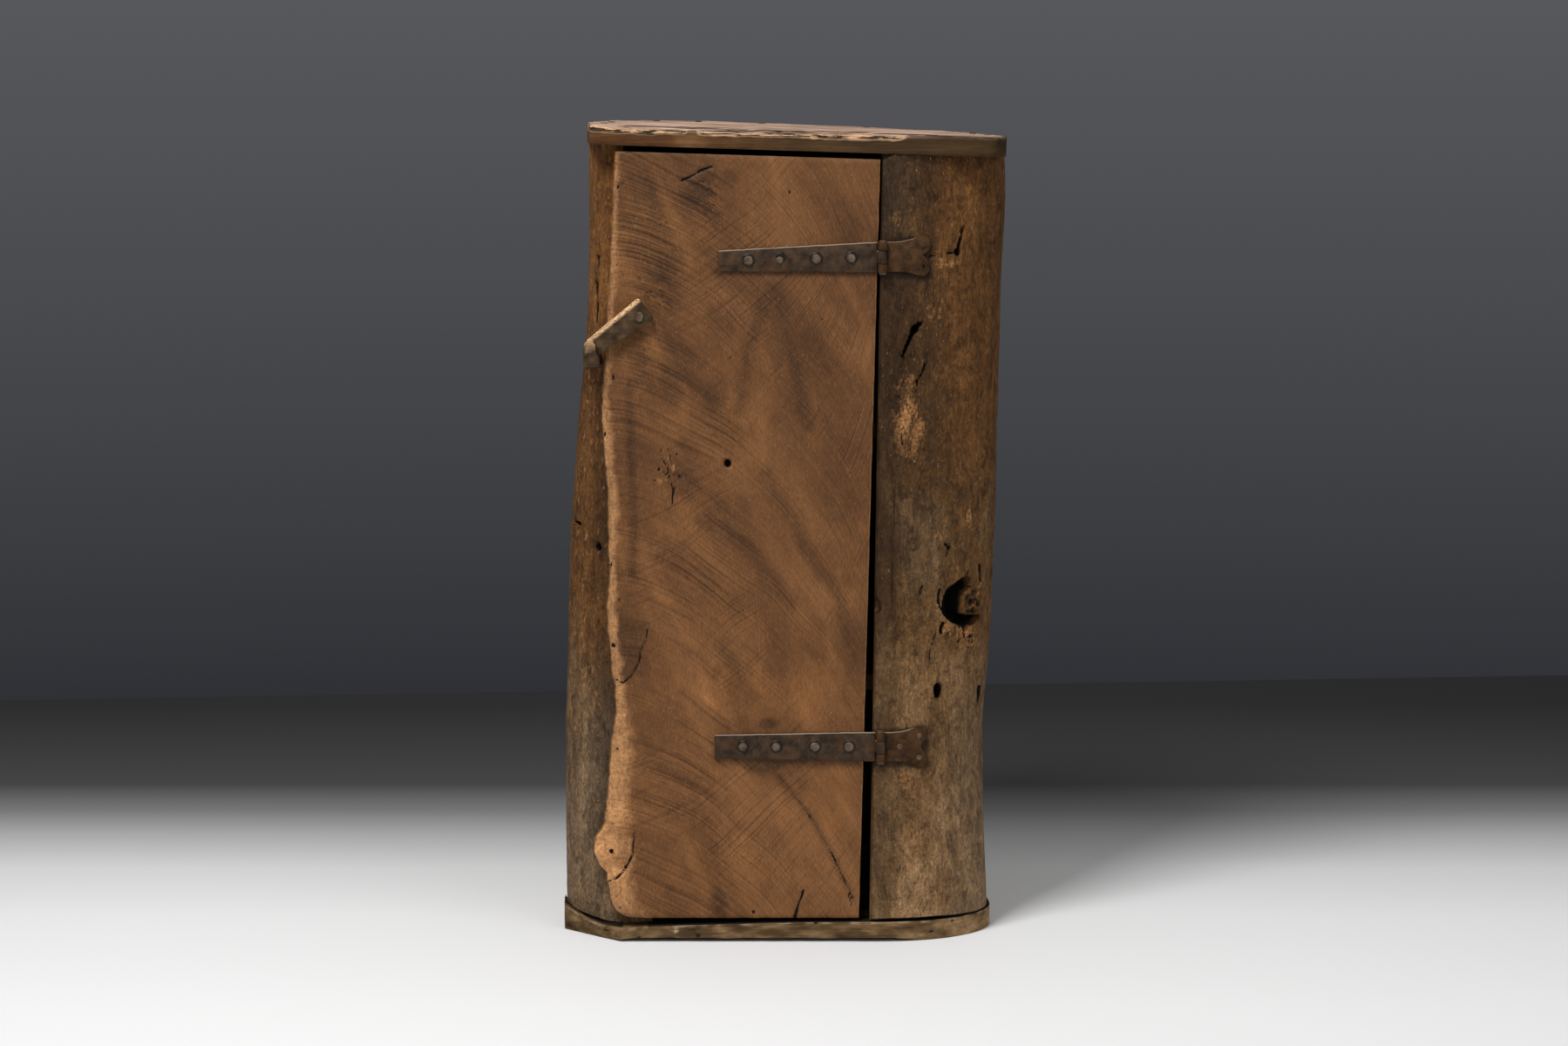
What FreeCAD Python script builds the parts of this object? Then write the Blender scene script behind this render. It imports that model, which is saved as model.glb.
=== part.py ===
import FreeCAD, Part
import math
import os
import re

import Sketcher

# Carved trunk cabinet: a hollowed trunk with a plank door on strap hinges and a turn button.
# Millimetres. The front faces -Y, +X is the viewer's right and +Z is up.
# Every sub-part is drawn with the door's front face at y = 0. Its Placement then moves it
# by front_shift, so that the origin lies under the middle of the whole cabinet.

SIZES = {
    # Heights
    "trunk_height": 903,
    "crown_tilt": 1.78,
    "base_thickness": 24,
    "top_thickness": 23,
    # Trunk in plan: half widths at the narrowest, and how far each level swells past them
    "trunk_left": 221,
    "trunk_right": 240,
    "foot_left_swell": 36.6,
    "lower_left_swell": 33,
    "middle_left_swell": 25.5,
    "upper_left_swell": 8.5,
    "crown_left_swell": 5,
    "foot_right_swell": 8.8,
    "lower_right_swell": 2,
    "middle_right_swell": 13,
    "upper_right_swell": 18.5,
    "crown_right_swell": 20.5,
    "trunk_wall": 38,
    "foot_depth": 358,
    "crown_depth": 346,
    "left_depth": 95,
    "right_depth": 90,
    "back_offset": 80,
    # Left jamb, which the door laps over, and right cheek, which carries the hinges
    "corner_inset_foot": 39,
    "corner_inset_crown": 20,
    "jamb_face_foot": 30,
    "jamb_face_crown": 20.5,
    "jamb_wall": 22,
    "cheek_width_foot": 135,
    "cheek_width_crown": 124,
    "cheek_wall": 40,
    "cheek_flat": 18,
    "cheek_setback": 0.6,
    # Knothole through the right side
    "knot_rise": 376,
    "knot_inset": 33,
    "knot_half_width": 15,
    "knot_half_height": 21,
    # Door plank: its gaps, and how far its live edge laps the jamb from bottom to top
    "door_thickness": 22,
    "stop_clearance": 0.5,
    "door_top_gap": 5.5,
    "door_bottom_gap": 4,
    "door_gap_crown": 2,
    "door_gap_foot": 13,
    "lap_1": 30,
    "lap_2": 61.8,
    "lap_3": 41.7,
    "lap_4": 35,
    "lap_5": 34.3,
    "lap_6": 32.2,
    "lap_7": 35.7,
    "lap_8": 25.3,
    "lap_9": 14.7,
    "lap_10": 9.1,
    "peep_radius": 3.5,
    "peep_rise": 543,
    "peep_offset": 178,
    # Strap hinges
    "hinge_drop": 121.5,
    "hinge_rise": 210,
    "hinge_height": 35,
    "middle_knuckle": 15,
    "knuckle_gap": 0.5,
    "leaf_thickness": 3,
    "barrel_radius": 5.5,
    "barrel_clearance": 0.3,
    "axis_offset": 1,
    "pin_radius": 2.6,
    "pin_clearance": 0.08,
    "pin_head_radius": 4.2,
    "pin_head_height": 2,
    "upper_strap_length": 188,
    "upper_tip_above": 7.5,
    "upper_tip_below": 16.5,
    "lower_strap_length": 194,
    "lower_tip_above": 14,
    "lower_tip_below": 14,
    "tail_length": 55,
    "tail_neck": 28,
    "tail_half": 24.5,
    "tail_notch": 8,
    # Rivets and nails
    "rivet_first": 36,
    "rivet_pitch": 40,
    "rivet_radius": 3,
    "rivet_head_radius": 6,
    "rivet_crown_radius": 3.6,
    "rivet_head_height": 4,
    "rove_radius": 7,
    "rove_thickness": 2,
    "nail_radius": 1.8,
    "nail_head_radius": 4,
    "nail_head_height": 1.6,
    "leaf_nail_first": 25,
    "leaf_nail_second": 45,
    "leaf_nail_spread": 13,
    "leaf_nail_length": 30,
    "board_nail_length": 55,
    "bore_clearance": 0.15,
    # Places of the board nails, in degrees from the trunk's side round to its back
    "nail_angle_1": 2,
    "nail_angle_2": 17,
    "nail_angle_3": 55,
    "nail_angle_4": 80,
    # Turn button and its keeper
    "latch_inset": 59,
    "latch_drop": 189.5,
    "button_droop": 36,
    "button_length": 66,
    "button_tail": 12,
    "button_root_half": 15,
    "button_tip_half": 10.5,
    "button_offset": 3.3,
    "button_thickness": 9,
    "button_gap": 0.4,
    "screw_radius": 3,
    "screw_head_radius": 6.5,
    "screw_head_height": 3,
    "screw_depth": 16,
    "keeper_width": 18,
    "keeper_height": 14,
    "keeper_depth": 112,
    "keeper_seat": 0.5,
    "lip_thickness": 6,
    "lip_clearance": 1,
    "lip_rise": 18,
    "keeper_nail_depth": 101,
    "keeper_nail_length": 32,
    # Top and base boards
    "top_side": 0.5,
    "top_front": 2,
    "top_back": 5,
    "top_left_corner": 8,
    "top_right_corner": 24,
    "top_right_depth": 45,
    "top_joint": 215,
    "base_side": 2.4,
    "base_front": 3,
    "base_back": 5,
    "base_left_corner": 71.5,
    "base_right_corner": 137,
    "base_joint": 190,
    "base_bend_inset": 1.8,
    "base_bend_depth": 58,
    "board_gap": 1.5,
    # Shelves on pegs
    "lower_shelf_rise": 285,
    "upper_shelf_drop": 318,
    "shelf_thickness": 20,
    "shelf_clearance": 6,
    "shelf_front": 64,
    "peg_radius": 8,
    "peg_depth": 24,
    "peg_reach": 45,
    "peg_front": 125,
    "peg_back": 225,
}
LEVELS = ("foot", "lower", "middle", "upper", "crown")
LAP_STATIONS = 10
RIVETS_PER_STRAP = 4
PLUS_X = FreeCAD.Rotation(FreeCAD.Vector(0, 1, 0), 90)
PLUS_Y = FreeCAD.Rotation(FreeCAD.Vector(1, 0, 0), -90)
PLUS_Z = FreeCAD.Rotation()

doc = FreeCAD.newDocument("trunk_cabinet")
sheet = doc.addObject("Spreadsheet::Sheet", "dims")
for row, (alias, size) in enumerate(SIZES.items(), start=1):
    sheet.set("A%d" % row, alias)
    sheet.set("B%d" % row, str(size))
    sheet.setAlias("B%d" % row, alias)
doc.recompute()

# Places that follow from the sizes
crown_z = "(base_thickness + trunk_height)"
loft_rise = "(trunk_height + (trunk_left + crown_left_swell) * tan(crown_tilt) + top_thickness / 4)"
jamb_y = "(door_thickness + stop_clearance)"
jamb_back = "(door_thickness + stop_clearance + jamb_wall)"
cheek_back = "(cheek_setback + cheek_wall)"
flat_end = "(trunk_right - cheek_width_crown + cheek_flat)"
hinge_x = "(trunk_right - cheek_width_crown + axis_offset)"
hinge_y = "(cheek_setback - barrel_clearance - barrel_radius)"
latch_x = "(latch_inset - trunk_left)"
latch_z = "(base_thickness + trunk_height - latch_drop)"
button_front = "(button_gap + button_thickness)"
lip_front = "(button_gap + button_thickness + lip_clearance + lip_thickness)"
front_shift = "(%s - foot_depth - base_back) / 2" % lip_front


def tie(text):
    """Turn the names of sizes in a formula into references to the sheet's cells."""
    return re.sub(r"[a-z]\w*", lambda found: "dims." + found[0] if found[0] in SIZES else found[0], text)


def value(text):
    """Work out a formula now."""
    return float(sheet.evalExpression(tie(text)))


def bind(item, **formulas):
    """Bind properties to formulas. A double underscore in a name stands for a dot."""
    for name, text in formulas.items():
        item.setExpression(name.replace("__", "."), tie(text))


def seat(item, label, x="0", y=front_shift, z="0"):
    """Name a finished sub-part and set where it stands."""
    item.Label = label
    bind(item, Placement__Base__x=x, Placement__Base__y=y, Placement__Base__z=z)
    return item


def tilt(item):
    """Turn a sub-part about Y so that it lies on the slanting crown of the trunk."""
    item.Placement = FreeCAD.Placement(FreeCAD.Vector(), FreeCAD.Rotation(FreeCAD.Vector(0, 1, 0), 1))
    bind(item, Placement__Rotation__Angle="crown_tilt")
    return item


def along(share, foot, crown):
    """A size that runs straight from its foot value to its crown value."""
    return "(%s + (%s - %s) * (%s))" % (foot, crown, foot, share)


# Plan of the trunk at a share of its height

def corner_at(share):
    return "(trunk_left - %s)" % along(share, "corner_inset_foot", "corner_inset_crown")


def opening_left(share):
    return "(%s - %s)" % (corner_at(share), along(share, "jamb_face_foot", "jamb_face_crown"))


def opening_right(share):
    return "(trunk_right - %s)" % along(share, "cheek_width_foot", "cheek_width_crown")


def depth_at(share):
    return along(share, "foot_depth", "crown_depth")


def half_width(side, height):
    """Half width of the trunk at a height above the base board, between two levels."""
    steps = len(LEVELS) - 1
    step = min(int(value("(%s) / %s" % (height, loft_rise)) * steps), steps - 1)
    low, high = ("%s_%s_swell" % (LEVELS[k], side) for k in (step, step + 1))
    share = "(%s) / %s * %d - %d" % (height, loft_rise, steps, step)
    return "(trunk_%s + %s)" % (side, along(share, low, high))


# Sketches

def place_sketch(body, name, role, offset="0"):
    sketch = body.newObject("Sketcher::SketchObject", name)
    plane = next(item for item in body.Origin.OriginFeatures if item.Role == role)
    sketch.AttachmentSupport = (plane, [""])
    sketch.MapMode = "FlatFace"
    bind(sketch, AttachmentOffset__Base__z=offset)
    return sketch


def ellipse_arc(start, end, centre):
    """Anticlockwise arc of an upright ellipse about centre, one of whose ends lies beside it."""
    beside, other = (start, end) if abs(start[1] - centre[1]) < 1e-6 else (end, start)
    across = abs(beside[0] - centre[0])
    share = (other[0] - centre[0]) / across
    upright = abs(other[1] - centre[1]) / math.sqrt(1 - share * share)
    middle = FreeCAD.Vector(*centre)
    if across >= upright:
        ellipse = Part.Ellipse(middle, across, upright)
    else:
        high, left = middle + FreeCAD.Vector(0, upright), middle - FreeCAD.Vector(across, 0)
        ellipse = Part.Ellipse(high, left, middle)
    first, last = (ellipse.parameter(FreeCAD.Vector(*point)) for point in (start, end))
    return Part.ArcOfEllipse(ellipse, first, last if last > first else last + 2 * math.pi)


def fix_point(sketch, index, position, point):
    """Bind one point of a sketch to its two formulas."""
    for kind, text in zip(("DistanceX", "DistanceY"), point):
        rule = Sketcher.Constraint(kind, -1, 1, index, position, value(text))
        sketch.setExpression("Constraints[%d]" % sketch.addConstraint(rule), tie(text))


def draw_outline(sketch, points, arcs=()):
    """Draw a closed outline through points, with lines except where arcs gives a centre.

    arcs maps the number of an edge to (centre, clockwise)."""
    arcs = dict(arcs)
    spots = [tuple(value(text) for text in point) for point in points]
    ends = []
    for k, start in enumerate(spots):
        end = spots[(k + 1) % len(spots)]
        if k in arcs:
            centre, clockwise = arcs[k]
            middle = tuple(value(text) for text in centre)
            edge = ellipse_arc(end, start, middle) if clockwise else ellipse_arc(start, end, middle)
        else:
            clockwise = False
            edge = Part.LineSegment(FreeCAD.Vector(*start), FreeCAD.Vector(*end))
        index = sketch.addGeometry(edge)
        ends.append((index, 2, 1) if clockwise else (index, 1, 2))
        if k in arcs:
            fix_point(sketch, index, 3, centre)
    for k, (index, first, last) in enumerate(ends):
        following, begins, _ = ends[(k + 1) % len(ends)]
        sketch.addConstraint(Sketcher.Constraint("Coincident", index, last, following, begins))
        fix_point(sketch, index, first, points[k])


def draw_circle(sketch, centre, radius):
    spot = FreeCAD.Vector(*(value(text) for text in centre))
    index = sketch.addGeometry(Part.Circle(spot, FreeCAD.Vector(0, 0, 1), value(radius)))
    fix_point(sketch, index, 3, centre)
    rule = sketch.addConstraint(Sketcher.Constraint("Radius", index, value(radius)))
    sketch.setExpression("Constraints[%d]" % rule, tie(radius))


def pad(body, sketch, length, backwards=False):
    feature = body.newObject("PartDesign::Pad", sketch.Name + "_pad")
    feature.Profile = sketch
    feature.Reversed = backwards
    bind(feature, Length=length)
    return feature


def pocket(body, sketch, length):
    """Cut both ways from the sketch's plane."""
    feature = body.newObject("PartDesign::Pocket", sketch.Name + "_pocket")
    feature.Profile = sketch
    feature.SideType = "Symmetric"
    bind(feature, Length=length)
    return feature


# Round stock, and what is cut from or joined to what

def rod(name, radius, length, turn, x, y, z):
    item = doc.addObject("Part::Cylinder", name)
    item.Placement = FreeCAD.Placement(FreeCAD.Vector(), turn)
    bind(item, Radius=radius, Height=length)
    bind(item, Placement__Base__x=x, Placement__Base__y=y, Placement__Base__z=z)
    return item


def join(name, items):
    fused = doc.addObject("Part::MultiFuse", name)
    fused.Shapes = items
    return fused


def group(name, items):
    bundle = doc.addObject("Part::Compound", name)
    bundle.Links = items
    return bundle


def cut(name, blank, tools):
    result = doc.addObject("Part::Cut", name)
    result.Base = blank
    result.Tool = group(name + "_tools", tools)
    return result


def nail(name, turn, length, tip, head):
    """A nail and the bores for it. tip and head are the places of the point and of the head's foot."""
    shank = rod(name + "_shank", "nail_radius", length, turn, *tip)
    cap = rod(name + "_cap", "nail_head_radius", "nail_head_height", turn, *head)
    bore = rod(name + "_bore", "nail_radius + bore_clearance", length, turn, *tip)
    sink = rod(name + "_sink", "nail_head_radius + bore_clearance", "top_thickness", turn, *head)
    return join(name, [shank, cap]), bore, sink


# Trunk

def trunk_ring(body, step):
    """Sketch the C-shaped ring of the trunk at one level, door opening to the front."""
    share = "%d / %d" % (step, len(LEVELS) - 1)
    left = "(trunk_left + %s_left_swell)" % LEVELS[step]
    right = "(trunk_right + %s_right_swell)" % LEVELS[step]
    deep = depth_at(share)
    sill_left, sill_right = opening_left(share), opening_right(share)
    points = [
        (sill_right, "cheek_setback"),
        (flat_end, "cheek_setback"),
        (right, "right_depth"),
        ("-back_offset", deep),
        ("-" + left, "left_depth"),
        ("-" + corner_at(share), jamb_y),
        ("-" + sill_left, jamb_y),
        ("-" + sill_left, jamb_back),
        ("trunk_wall - " + left, "left_depth"),
        ("-back_offset", "%s - trunk_wall" % deep),
        ("%s - trunk_wall" % right, "right_depth"),
        (sill_right, cheek_back),
    ]
    left_centre = ("-back_offset", "left_depth")
    right_centre = ("-back_offset", "right_depth")
    arcs = {
        1: ((flat_end, "right_depth"), False),
        2: (right_centre, False),
        3: (left_centre, False),
        4: (left_centre, False),
        7: (left_centre, True),
        8: (left_centre, True),
        9: (right_centre, True),
        10: ((sill_right, "right_depth"), True),
    }
    height = "base_thickness + %s * %s" % (loft_rise, share)
    sketch = place_sketch(body, LEVELS[step] + "_ring", "XY_Plane", height)
    draw_outline(sketch, points, arcs)
    return sketch


def make_trunk_blank():
    body = doc.addObject("PartDesign::Body", "trunk_blank")
    rings = [trunk_ring(body, step) for step in range(len(LEVELS))]
    doc.recompute()
    loft = body.newObject("PartDesign::AdditiveLoft", "trunk_loft")
    loft.Profile = rings[0]
    loft.Sections = rings[1:]
    slope = place_sketch(body, "crown_slope", "XZ_Plane")
    reach = "(trunk_left + trunk_right)"
    above = "%s + %s" % (crown_z, reach)
    rise = "%s * tan(crown_tilt)" % reach
    draw_outline(slope, [
        ("-" + reach, "%s + %s" % (crown_z, rise)),
        (reach, "%s - %s" % (crown_z, rise)),
        (reach, above),
        ("-" + reach, above),
    ])
    pocket(body, slope, "4 * foot_depth")
    return body


def make_knot_tool():
    """The oval bar that leaves a knothole where it passes through the right wall."""
    body = doc.addObject("PartDesign::Body", "knot_tool")
    sketch = place_sketch(body, "knot_oval", "XZ_Plane")
    x, z = "(trunk_right - knot_inset)", "(base_thickness + knot_rise)"
    points = [
        (x + " + knot_half_width", z),
        (x, z + " + knot_half_height"),
        (x + " - knot_half_width", z),
        (x, z + " - knot_half_height"),
    ]
    draw_outline(sketch, points, {k: ((x, z), False) for k in range(len(points))})
    pad(body, sketch, "right_depth + knot_half_width", backwards=True)
    return body


# Boards in plan: a straight front, rounded sides and a rounded back

def board_outline(sketch, front, corners, sides, depths, back, round_corner=True, bend=None):
    points = [
        ("-" + corners[0], front),
        (corners[1], front),
        (sides[1], depths[1]),
        ("-back_offset", back),
        ("-" + sides[0], depths[0]),
    ]
    arcs = {
        2: (("-back_offset", depths[1]), False),
        3: (("-back_offset", depths[0]), False),
    }
    if round_corner:
        arcs[1] = ((corners[1], depths[1]), False)
    if bend:
        points.append(bend)
    draw_outline(sketch, points, arcs)


def keep_part(body, name, front, back):
    """Trim a board to the stretch between two depths."""
    reach = "(trunk_left + trunk_right)"
    for side, (near, far) in {"before": ("-" + reach, front), "behind": (back, reach)}.items():
        if near is None or far is None:
            continue
        sketch = place_sketch(body, name + "_" + side, "XY_Plane")
        draw_outline(sketch, [("-" + reach, near), (reach, near), (reach, far), ("-" + reach, far)])
        pocket(body, sketch, "4 * top_thickness + 4 * base_thickness")


def make_top_blank(name, front, back):
    body = doc.addObject("PartDesign::Body", name + "_blank")
    left = "(trunk_left + crown_left_swell + top_side)"
    right = "(trunk_right + crown_right_swell + top_side)"
    sketch = place_sketch(body, name + "_plan", "XY_Plane")
    corners = ("(%s - top_left_corner)" % left, "(%s - top_right_corner)" % right)
    board_outline(sketch, "-top_front", corners, (left, right), ("left_depth", "top_right_depth"),
                  "crown_depth + top_back")
    pad(body, sketch, "top_thickness")
    keep_part(body, name, front, back)
    return body


def make_base_blank(name, front, back):
    body = doc.addObject("PartDesign::Body", name + "_blank")
    left = "(trunk_left + foot_left_swell + base_side)"
    right = "(trunk_right + foot_right_swell + base_side)"
    sketch = place_sketch(body, name + "_plan", "XY_Plane")
    corners = ("(%s - base_left_corner)" % left, "(%s - base_right_corner)" % right)
    bend = ("base_bend_inset - %s" % left, "base_bend_depth")
    board_outline(sketch, "-base_front", corners, (left, right), ("left_depth", "right_depth"),
                  "foot_depth + base_back", bend=bend)
    pad(body, sketch, "base_thickness")
    keep_part(body, name, front, back)
    return body


def wall_middle(side, level, angle):
    """Middle of the trunk's wall at an angle, from beside the middle (0) round to the back (90)."""
    sign = "-" if side == "left" else ""
    deep = "foot_depth" if level == "foot" else "crown_depth"
    half = "(trunk_%s + %s_%s_swell %s back_offset - trunk_wall / 2)" % (
        side, level, side, "-" if side == "left" else "+")
    x = "-back_offset + %s%s * cos(%s)" % (sign, half, angle)
    y = "%s_depth + (%s - %s_depth - trunk_wall / 2) * sin(%s)" % (side, deep, side, angle)
    return x, y


NAIL_ANGLES = {"front": ("nail_angle_1", "nail_angle_2"), "back": ("nail_angle_3", "nail_angle_4")}


def board_nails(name, level, angles, turn, tip_z, head_z):
    nails, bores, sinks = [], [], []
    for side in ("left", "right"):
        for angle in angles:
            x, y = wall_middle(side, level, angle)
            stem = "%s_%s_%s" % (name, side, angle)
            made = nail(stem, turn, "board_nail_length", (x, y, tip_z), (x, y, head_z))
            nails.append(made[0])
            bores.append(made[1])
            sinks.append(made[2])
    return nails, bores, sinks


def make_boards():
    """Both pairs of boards with their nails. Returns the bores that the trunk needs."""
    crown_nails, crown_bores, foot_nails, foot_bores = [], [], [], []
    turned_over = FreeCAD.Rotation(FreeCAD.Vector(1, 0, 0), 180)
    spans = {"front": (None, "_joint"), "back": ("_joint + board_gap", None)}
    for place, (near, far) in spans.items():
        front = None if near is None else "top" + near
        back = None if far is None else "top" + far
        top_head = "top_thickness - nail_head_height"
        nails, bores, sinks = board_nails("top_" + place, "crown", NAIL_ANGLES[place], PLUS_Z,
                                          top_head + " - board_nail_length", top_head)
        blank = make_top_blank("top_board_" + place, front, back)
        board = cut("top_board_%s_cut" % place, blank, bores + sinks)
        seat(tilt(board), "top_board_" + place, z=crown_z)
        nodes.append(board)
        crown_nails += nails
        crown_bores += bores

        front = None if near is None else "base" + near
        back = None if far is None else "base" + far
        nails, bores, sinks = board_nails("base_" + place, "foot", NAIL_ANGLES[place], turned_over,
                                          "board_nail_length + nail_head_height", "nail_head_height")
        blank = make_base_blank("base_board_" + place, front, back)
        board = cut("base_board_%s_cut" % place, blank, bores + sinks)
        nodes.append(seat(board, "base_board_" + place))
        foot_nails += nails
        foot_bores += bores
    nodes.append(seat(tilt(group("crown_nail_group", crown_nails)), "top_board_nails", z=crown_z))
    nodes.append(seat(group("foot_nail_group", foot_nails), "base_board_nails"))
    crown_tool = tilt(group("crown_bores", crown_bores))
    bind(crown_tool, Placement__Base__z=crown_z)
    return [crown_tool] + foot_bores


# Shelves

def make_shelf(name, rise):
    """A shelf whose top lies at a rise above the base board, with four pegs. Returns the peg bores."""
    share = "(%s) / %s" % (rise, loft_rise)
    half = {side: half_width(side, rise) for side in ("left", "right")}
    deep = depth_at(share)
    sides = tuple("(%s - trunk_wall - shelf_clearance)" % half[side] for side in ("left", "right"))
    body = doc.addObject("PartDesign::Body", name + "_body")
    top = "base_thickness + %s" % rise
    sketch = place_sketch(body, name + "_plan", "XY_Plane", top)
    corners = ("(%s - shelf_clearance)" % opening_left(share), opening_right(share))
    board_outline(sketch, "shelf_front", corners, sides, ("left_depth", "right_depth"),
                  "%s - trunk_wall - shelf_clearance" % deep, round_corner=False)
    pad(body, sketch, "shelf_thickness", backwards=True)
    nodes.append(seat(body, name))

    pegs, bores = [], []
    z = "%s - shelf_thickness - peg_radius" % top
    for side, sign in (("left", "-"), ("right", "")):
        for place in ("peg_front", "peg_back"):
            across = "(%s %s back_offset - trunk_wall)" % (half[side], "-" if side == "left" else "+")
            fall = "(%s - %s_depth) / (%s - %s_depth - trunk_wall)" % (place, side, deep, side)
            wall = "(-back_offset + %s%s * sqrt(1 - (%s) ^ 2))" % (sign, across, fall)
            start = wall + (" - peg_depth" if side == "left" else " - peg_reach")
            stem = "%s_%s_%s" % (name, side, place)
            pegs.append(rod(stem, "peg_radius", "peg_depth + peg_reach", PLUS_X, start, place, z))
            bores.append(rod(stem + "_bore", "peg_radius + bore_clearance", "peg_depth + peg_reach", PLUS_X,
                             start, place, z))
    nodes.append(seat(group(name + "_peg_group", pegs), name + "_pegs"))
    return bores


# Hinges

def barrel(body, name, low, high):
    sketch = place_sketch(body, name, "XY_Plane", low)
    draw_circle(sketch, (hinge_x, hinge_y), "barrel_radius")
    pad(body, sketch, "%s - (%s)" % (high, low))


def pin_bore(body, name, middle):
    sketch = place_sketch(body, name, "XY_Plane", middle)
    draw_circle(sketch, (hinge_x, hinge_y), "pin_radius + pin_clearance")
    pocket(body, sketch, "2 * hinge_height")


def make_hinge(which, middle):
    """Strap, frame leaf, pin, rivets and nails of one hinge. Returns bores for the door and the trunk."""
    above = which + "_tip_above"
    below = which + "_tip_below"
    length = which + "_strap_length"
    high, low = "%s + hinge_height / 2" % middle, "%s - hinge_height / 2" % middle
    tongue_high = "%s + middle_knuckle / 2 - knuckle_gap / 2" % middle
    tongue_low = "%s - middle_knuckle / 2 + knuckle_gap / 2" % middle
    fork_high = "%s + middle_knuckle / 2 + knuckle_gap / 2" % middle
    fork_low = "%s - middle_knuckle / 2 - knuckle_gap / 2" % middle

    root = "%s - barrel_radius - knuckle_gap" % hinge_x
    tip = "%s - %s" % (hinge_x, length)
    strap = doc.addObject("PartDesign::Body", which + "_strap_blank")
    sketch = place_sketch(strap, which + "_strap_face", "XZ_Plane")
    draw_outline(sketch, [
        (root, high), (tip, "%s + %s" % (middle, above)), (tip, "%s - %s" % (middle, below)), (root, low),
        (root, tongue_low), (hinge_x, tongue_low), (hinge_x, tongue_high), (root, tongue_high),
    ])
    pad(strap, sketch, "leaf_thickness")
    barrel(strap, which + "_middle_barrel", tongue_low, tongue_high)
    pin_bore(strap, which + "_strap_bore", middle)

    rivets, rivet_bores = [], []
    for k in range(RIVETS_PER_STRAP):
        run = "(rivet_first + rivet_pitch * %d)" % k
        x = "%s - %s" % (hinge_x, run)
        z = "%s + (%s - %s) / 2 * %s / %s" % (middle, above, below, run, length)
        stem = "%s_rivet_%d" % (which, k + 1)
        through = "leaf_thickness + door_thickness"
        shank = rod(stem + "_shank", "rivet_radius", through + " + rove_thickness", PLUS_Y,
                    x, "-leaf_thickness", z)
        rove = rod(stem + "_rove", "rove_radius", "rove_thickness", PLUS_Y, x, "door_thickness", z)
        head = doc.addObject("Part::Cone", stem + "_head")
        head.Placement = FreeCAD.Placement(FreeCAD.Vector(), PLUS_Y)
        bind(head, Radius1="rivet_crown_radius", Radius2="rivet_head_radius", Height="rivet_head_height")
        bind(head, Placement__Base__x=x, Placement__Base__z=z)
        bind(head, Placement__Base__y="-leaf_thickness - rivet_head_height")
        rivets.append(join(stem, [shank, rove, head]))
        rivet_bores.append(rod(stem + "_bore", "rivet_radius + bore_clearance", through, PLUS_Y,
                               x, "-leaf_thickness", z))
    nodes.append(seat(cut(which + "_strap_cut", strap, rivet_bores), which + "_hinge_strap"))
    nodes.append(seat(group(which + "_rivet_group", rivets), which + "_strap_rivets"))

    leaf = doc.addObject("PartDesign::Body", which + "_leaf_blank")
    sketch = place_sketch(leaf, which + "_leaf_face", "XZ_Plane", "-cheek_setback")
    neck = "%s + tail_neck" % hinge_x
    tail = "%s + tail_length" % hinge_x
    inner = "%s + barrel_radius + knuckle_gap" % hinge_x
    draw_outline(sketch, [
        (hinge_x, high), (hinge_x, fork_high), (inner, fork_high), (inner, fork_low), (hinge_x, fork_low),
        (hinge_x, low), (neck, low), (tail, "%s - tail_half" % middle),
        ("%s - tail_notch" % tail, middle), (tail, "%s + tail_half" % middle), (neck, high),
    ])
    pad(leaf, sketch, "leaf_thickness")
    barrel(leaf, which + "_top_barrel", fork_high, high)
    barrel(leaf, which + "_bottom_barrel", low, fork_low)
    pin_bore(leaf, which + "_leaf_bore", middle)

    nails, nail_bores = [], []
    spots = {"first": ("leaf_nail_first", "0"), "high": ("leaf_nail_second", "leaf_nail_spread"),
             "low": ("leaf_nail_second", "-leaf_nail_spread")}
    face = "cheek_setback - leaf_thickness"
    for spot, (run, shift) in spots.items():
        x = "%s + %s" % (hinge_x, run)
        z = "%s + %s" % (middle, shift)
        stem = "%s_leaf_%s_nail" % (which, spot)
        shank = rod(stem + "_shank", "nail_radius", "leaf_nail_length", PLUS_Y, x, face, z)
        cap = rod(stem + "_cap", "nail_head_radius", "nail_head_height", PLUS_Y,
                  x, face + " - nail_head_height", z)
        nails.append(join(stem, [shank, cap]))
        nail_bores.append(rod(stem + "_bore", "nail_radius + bore_clearance", "leaf_nail_length", PLUS_Y,
                              x, face, z))
    nodes.append(seat(cut(which + "_leaf_cut", leaf, nail_bores), which + "_hinge_frame_leaf"))
    nodes.append(seat(group(which + "_nail_group", nails), which + "_leaf_nails"))

    stem = rod(which + "_pin_stem", "pin_radius", "hinge_height", PLUS_Z, hinge_x, hinge_y, low)
    caps = [rod(which + "_pin_cap", "pin_head_radius", "pin_head_height", PLUS_Z, hinge_x, hinge_y, high),
            rod(which + "_pin_foot", "pin_head_radius", "pin_head_height", PLUS_Z, hinge_x, hinge_y,
                low + " - pin_head_height")]
    nodes.append(seat(join(which + "_pin_join", [stem] + caps), which + "_hinge_pin"))
    return rivet_bores, nail_bores


# Door

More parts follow.
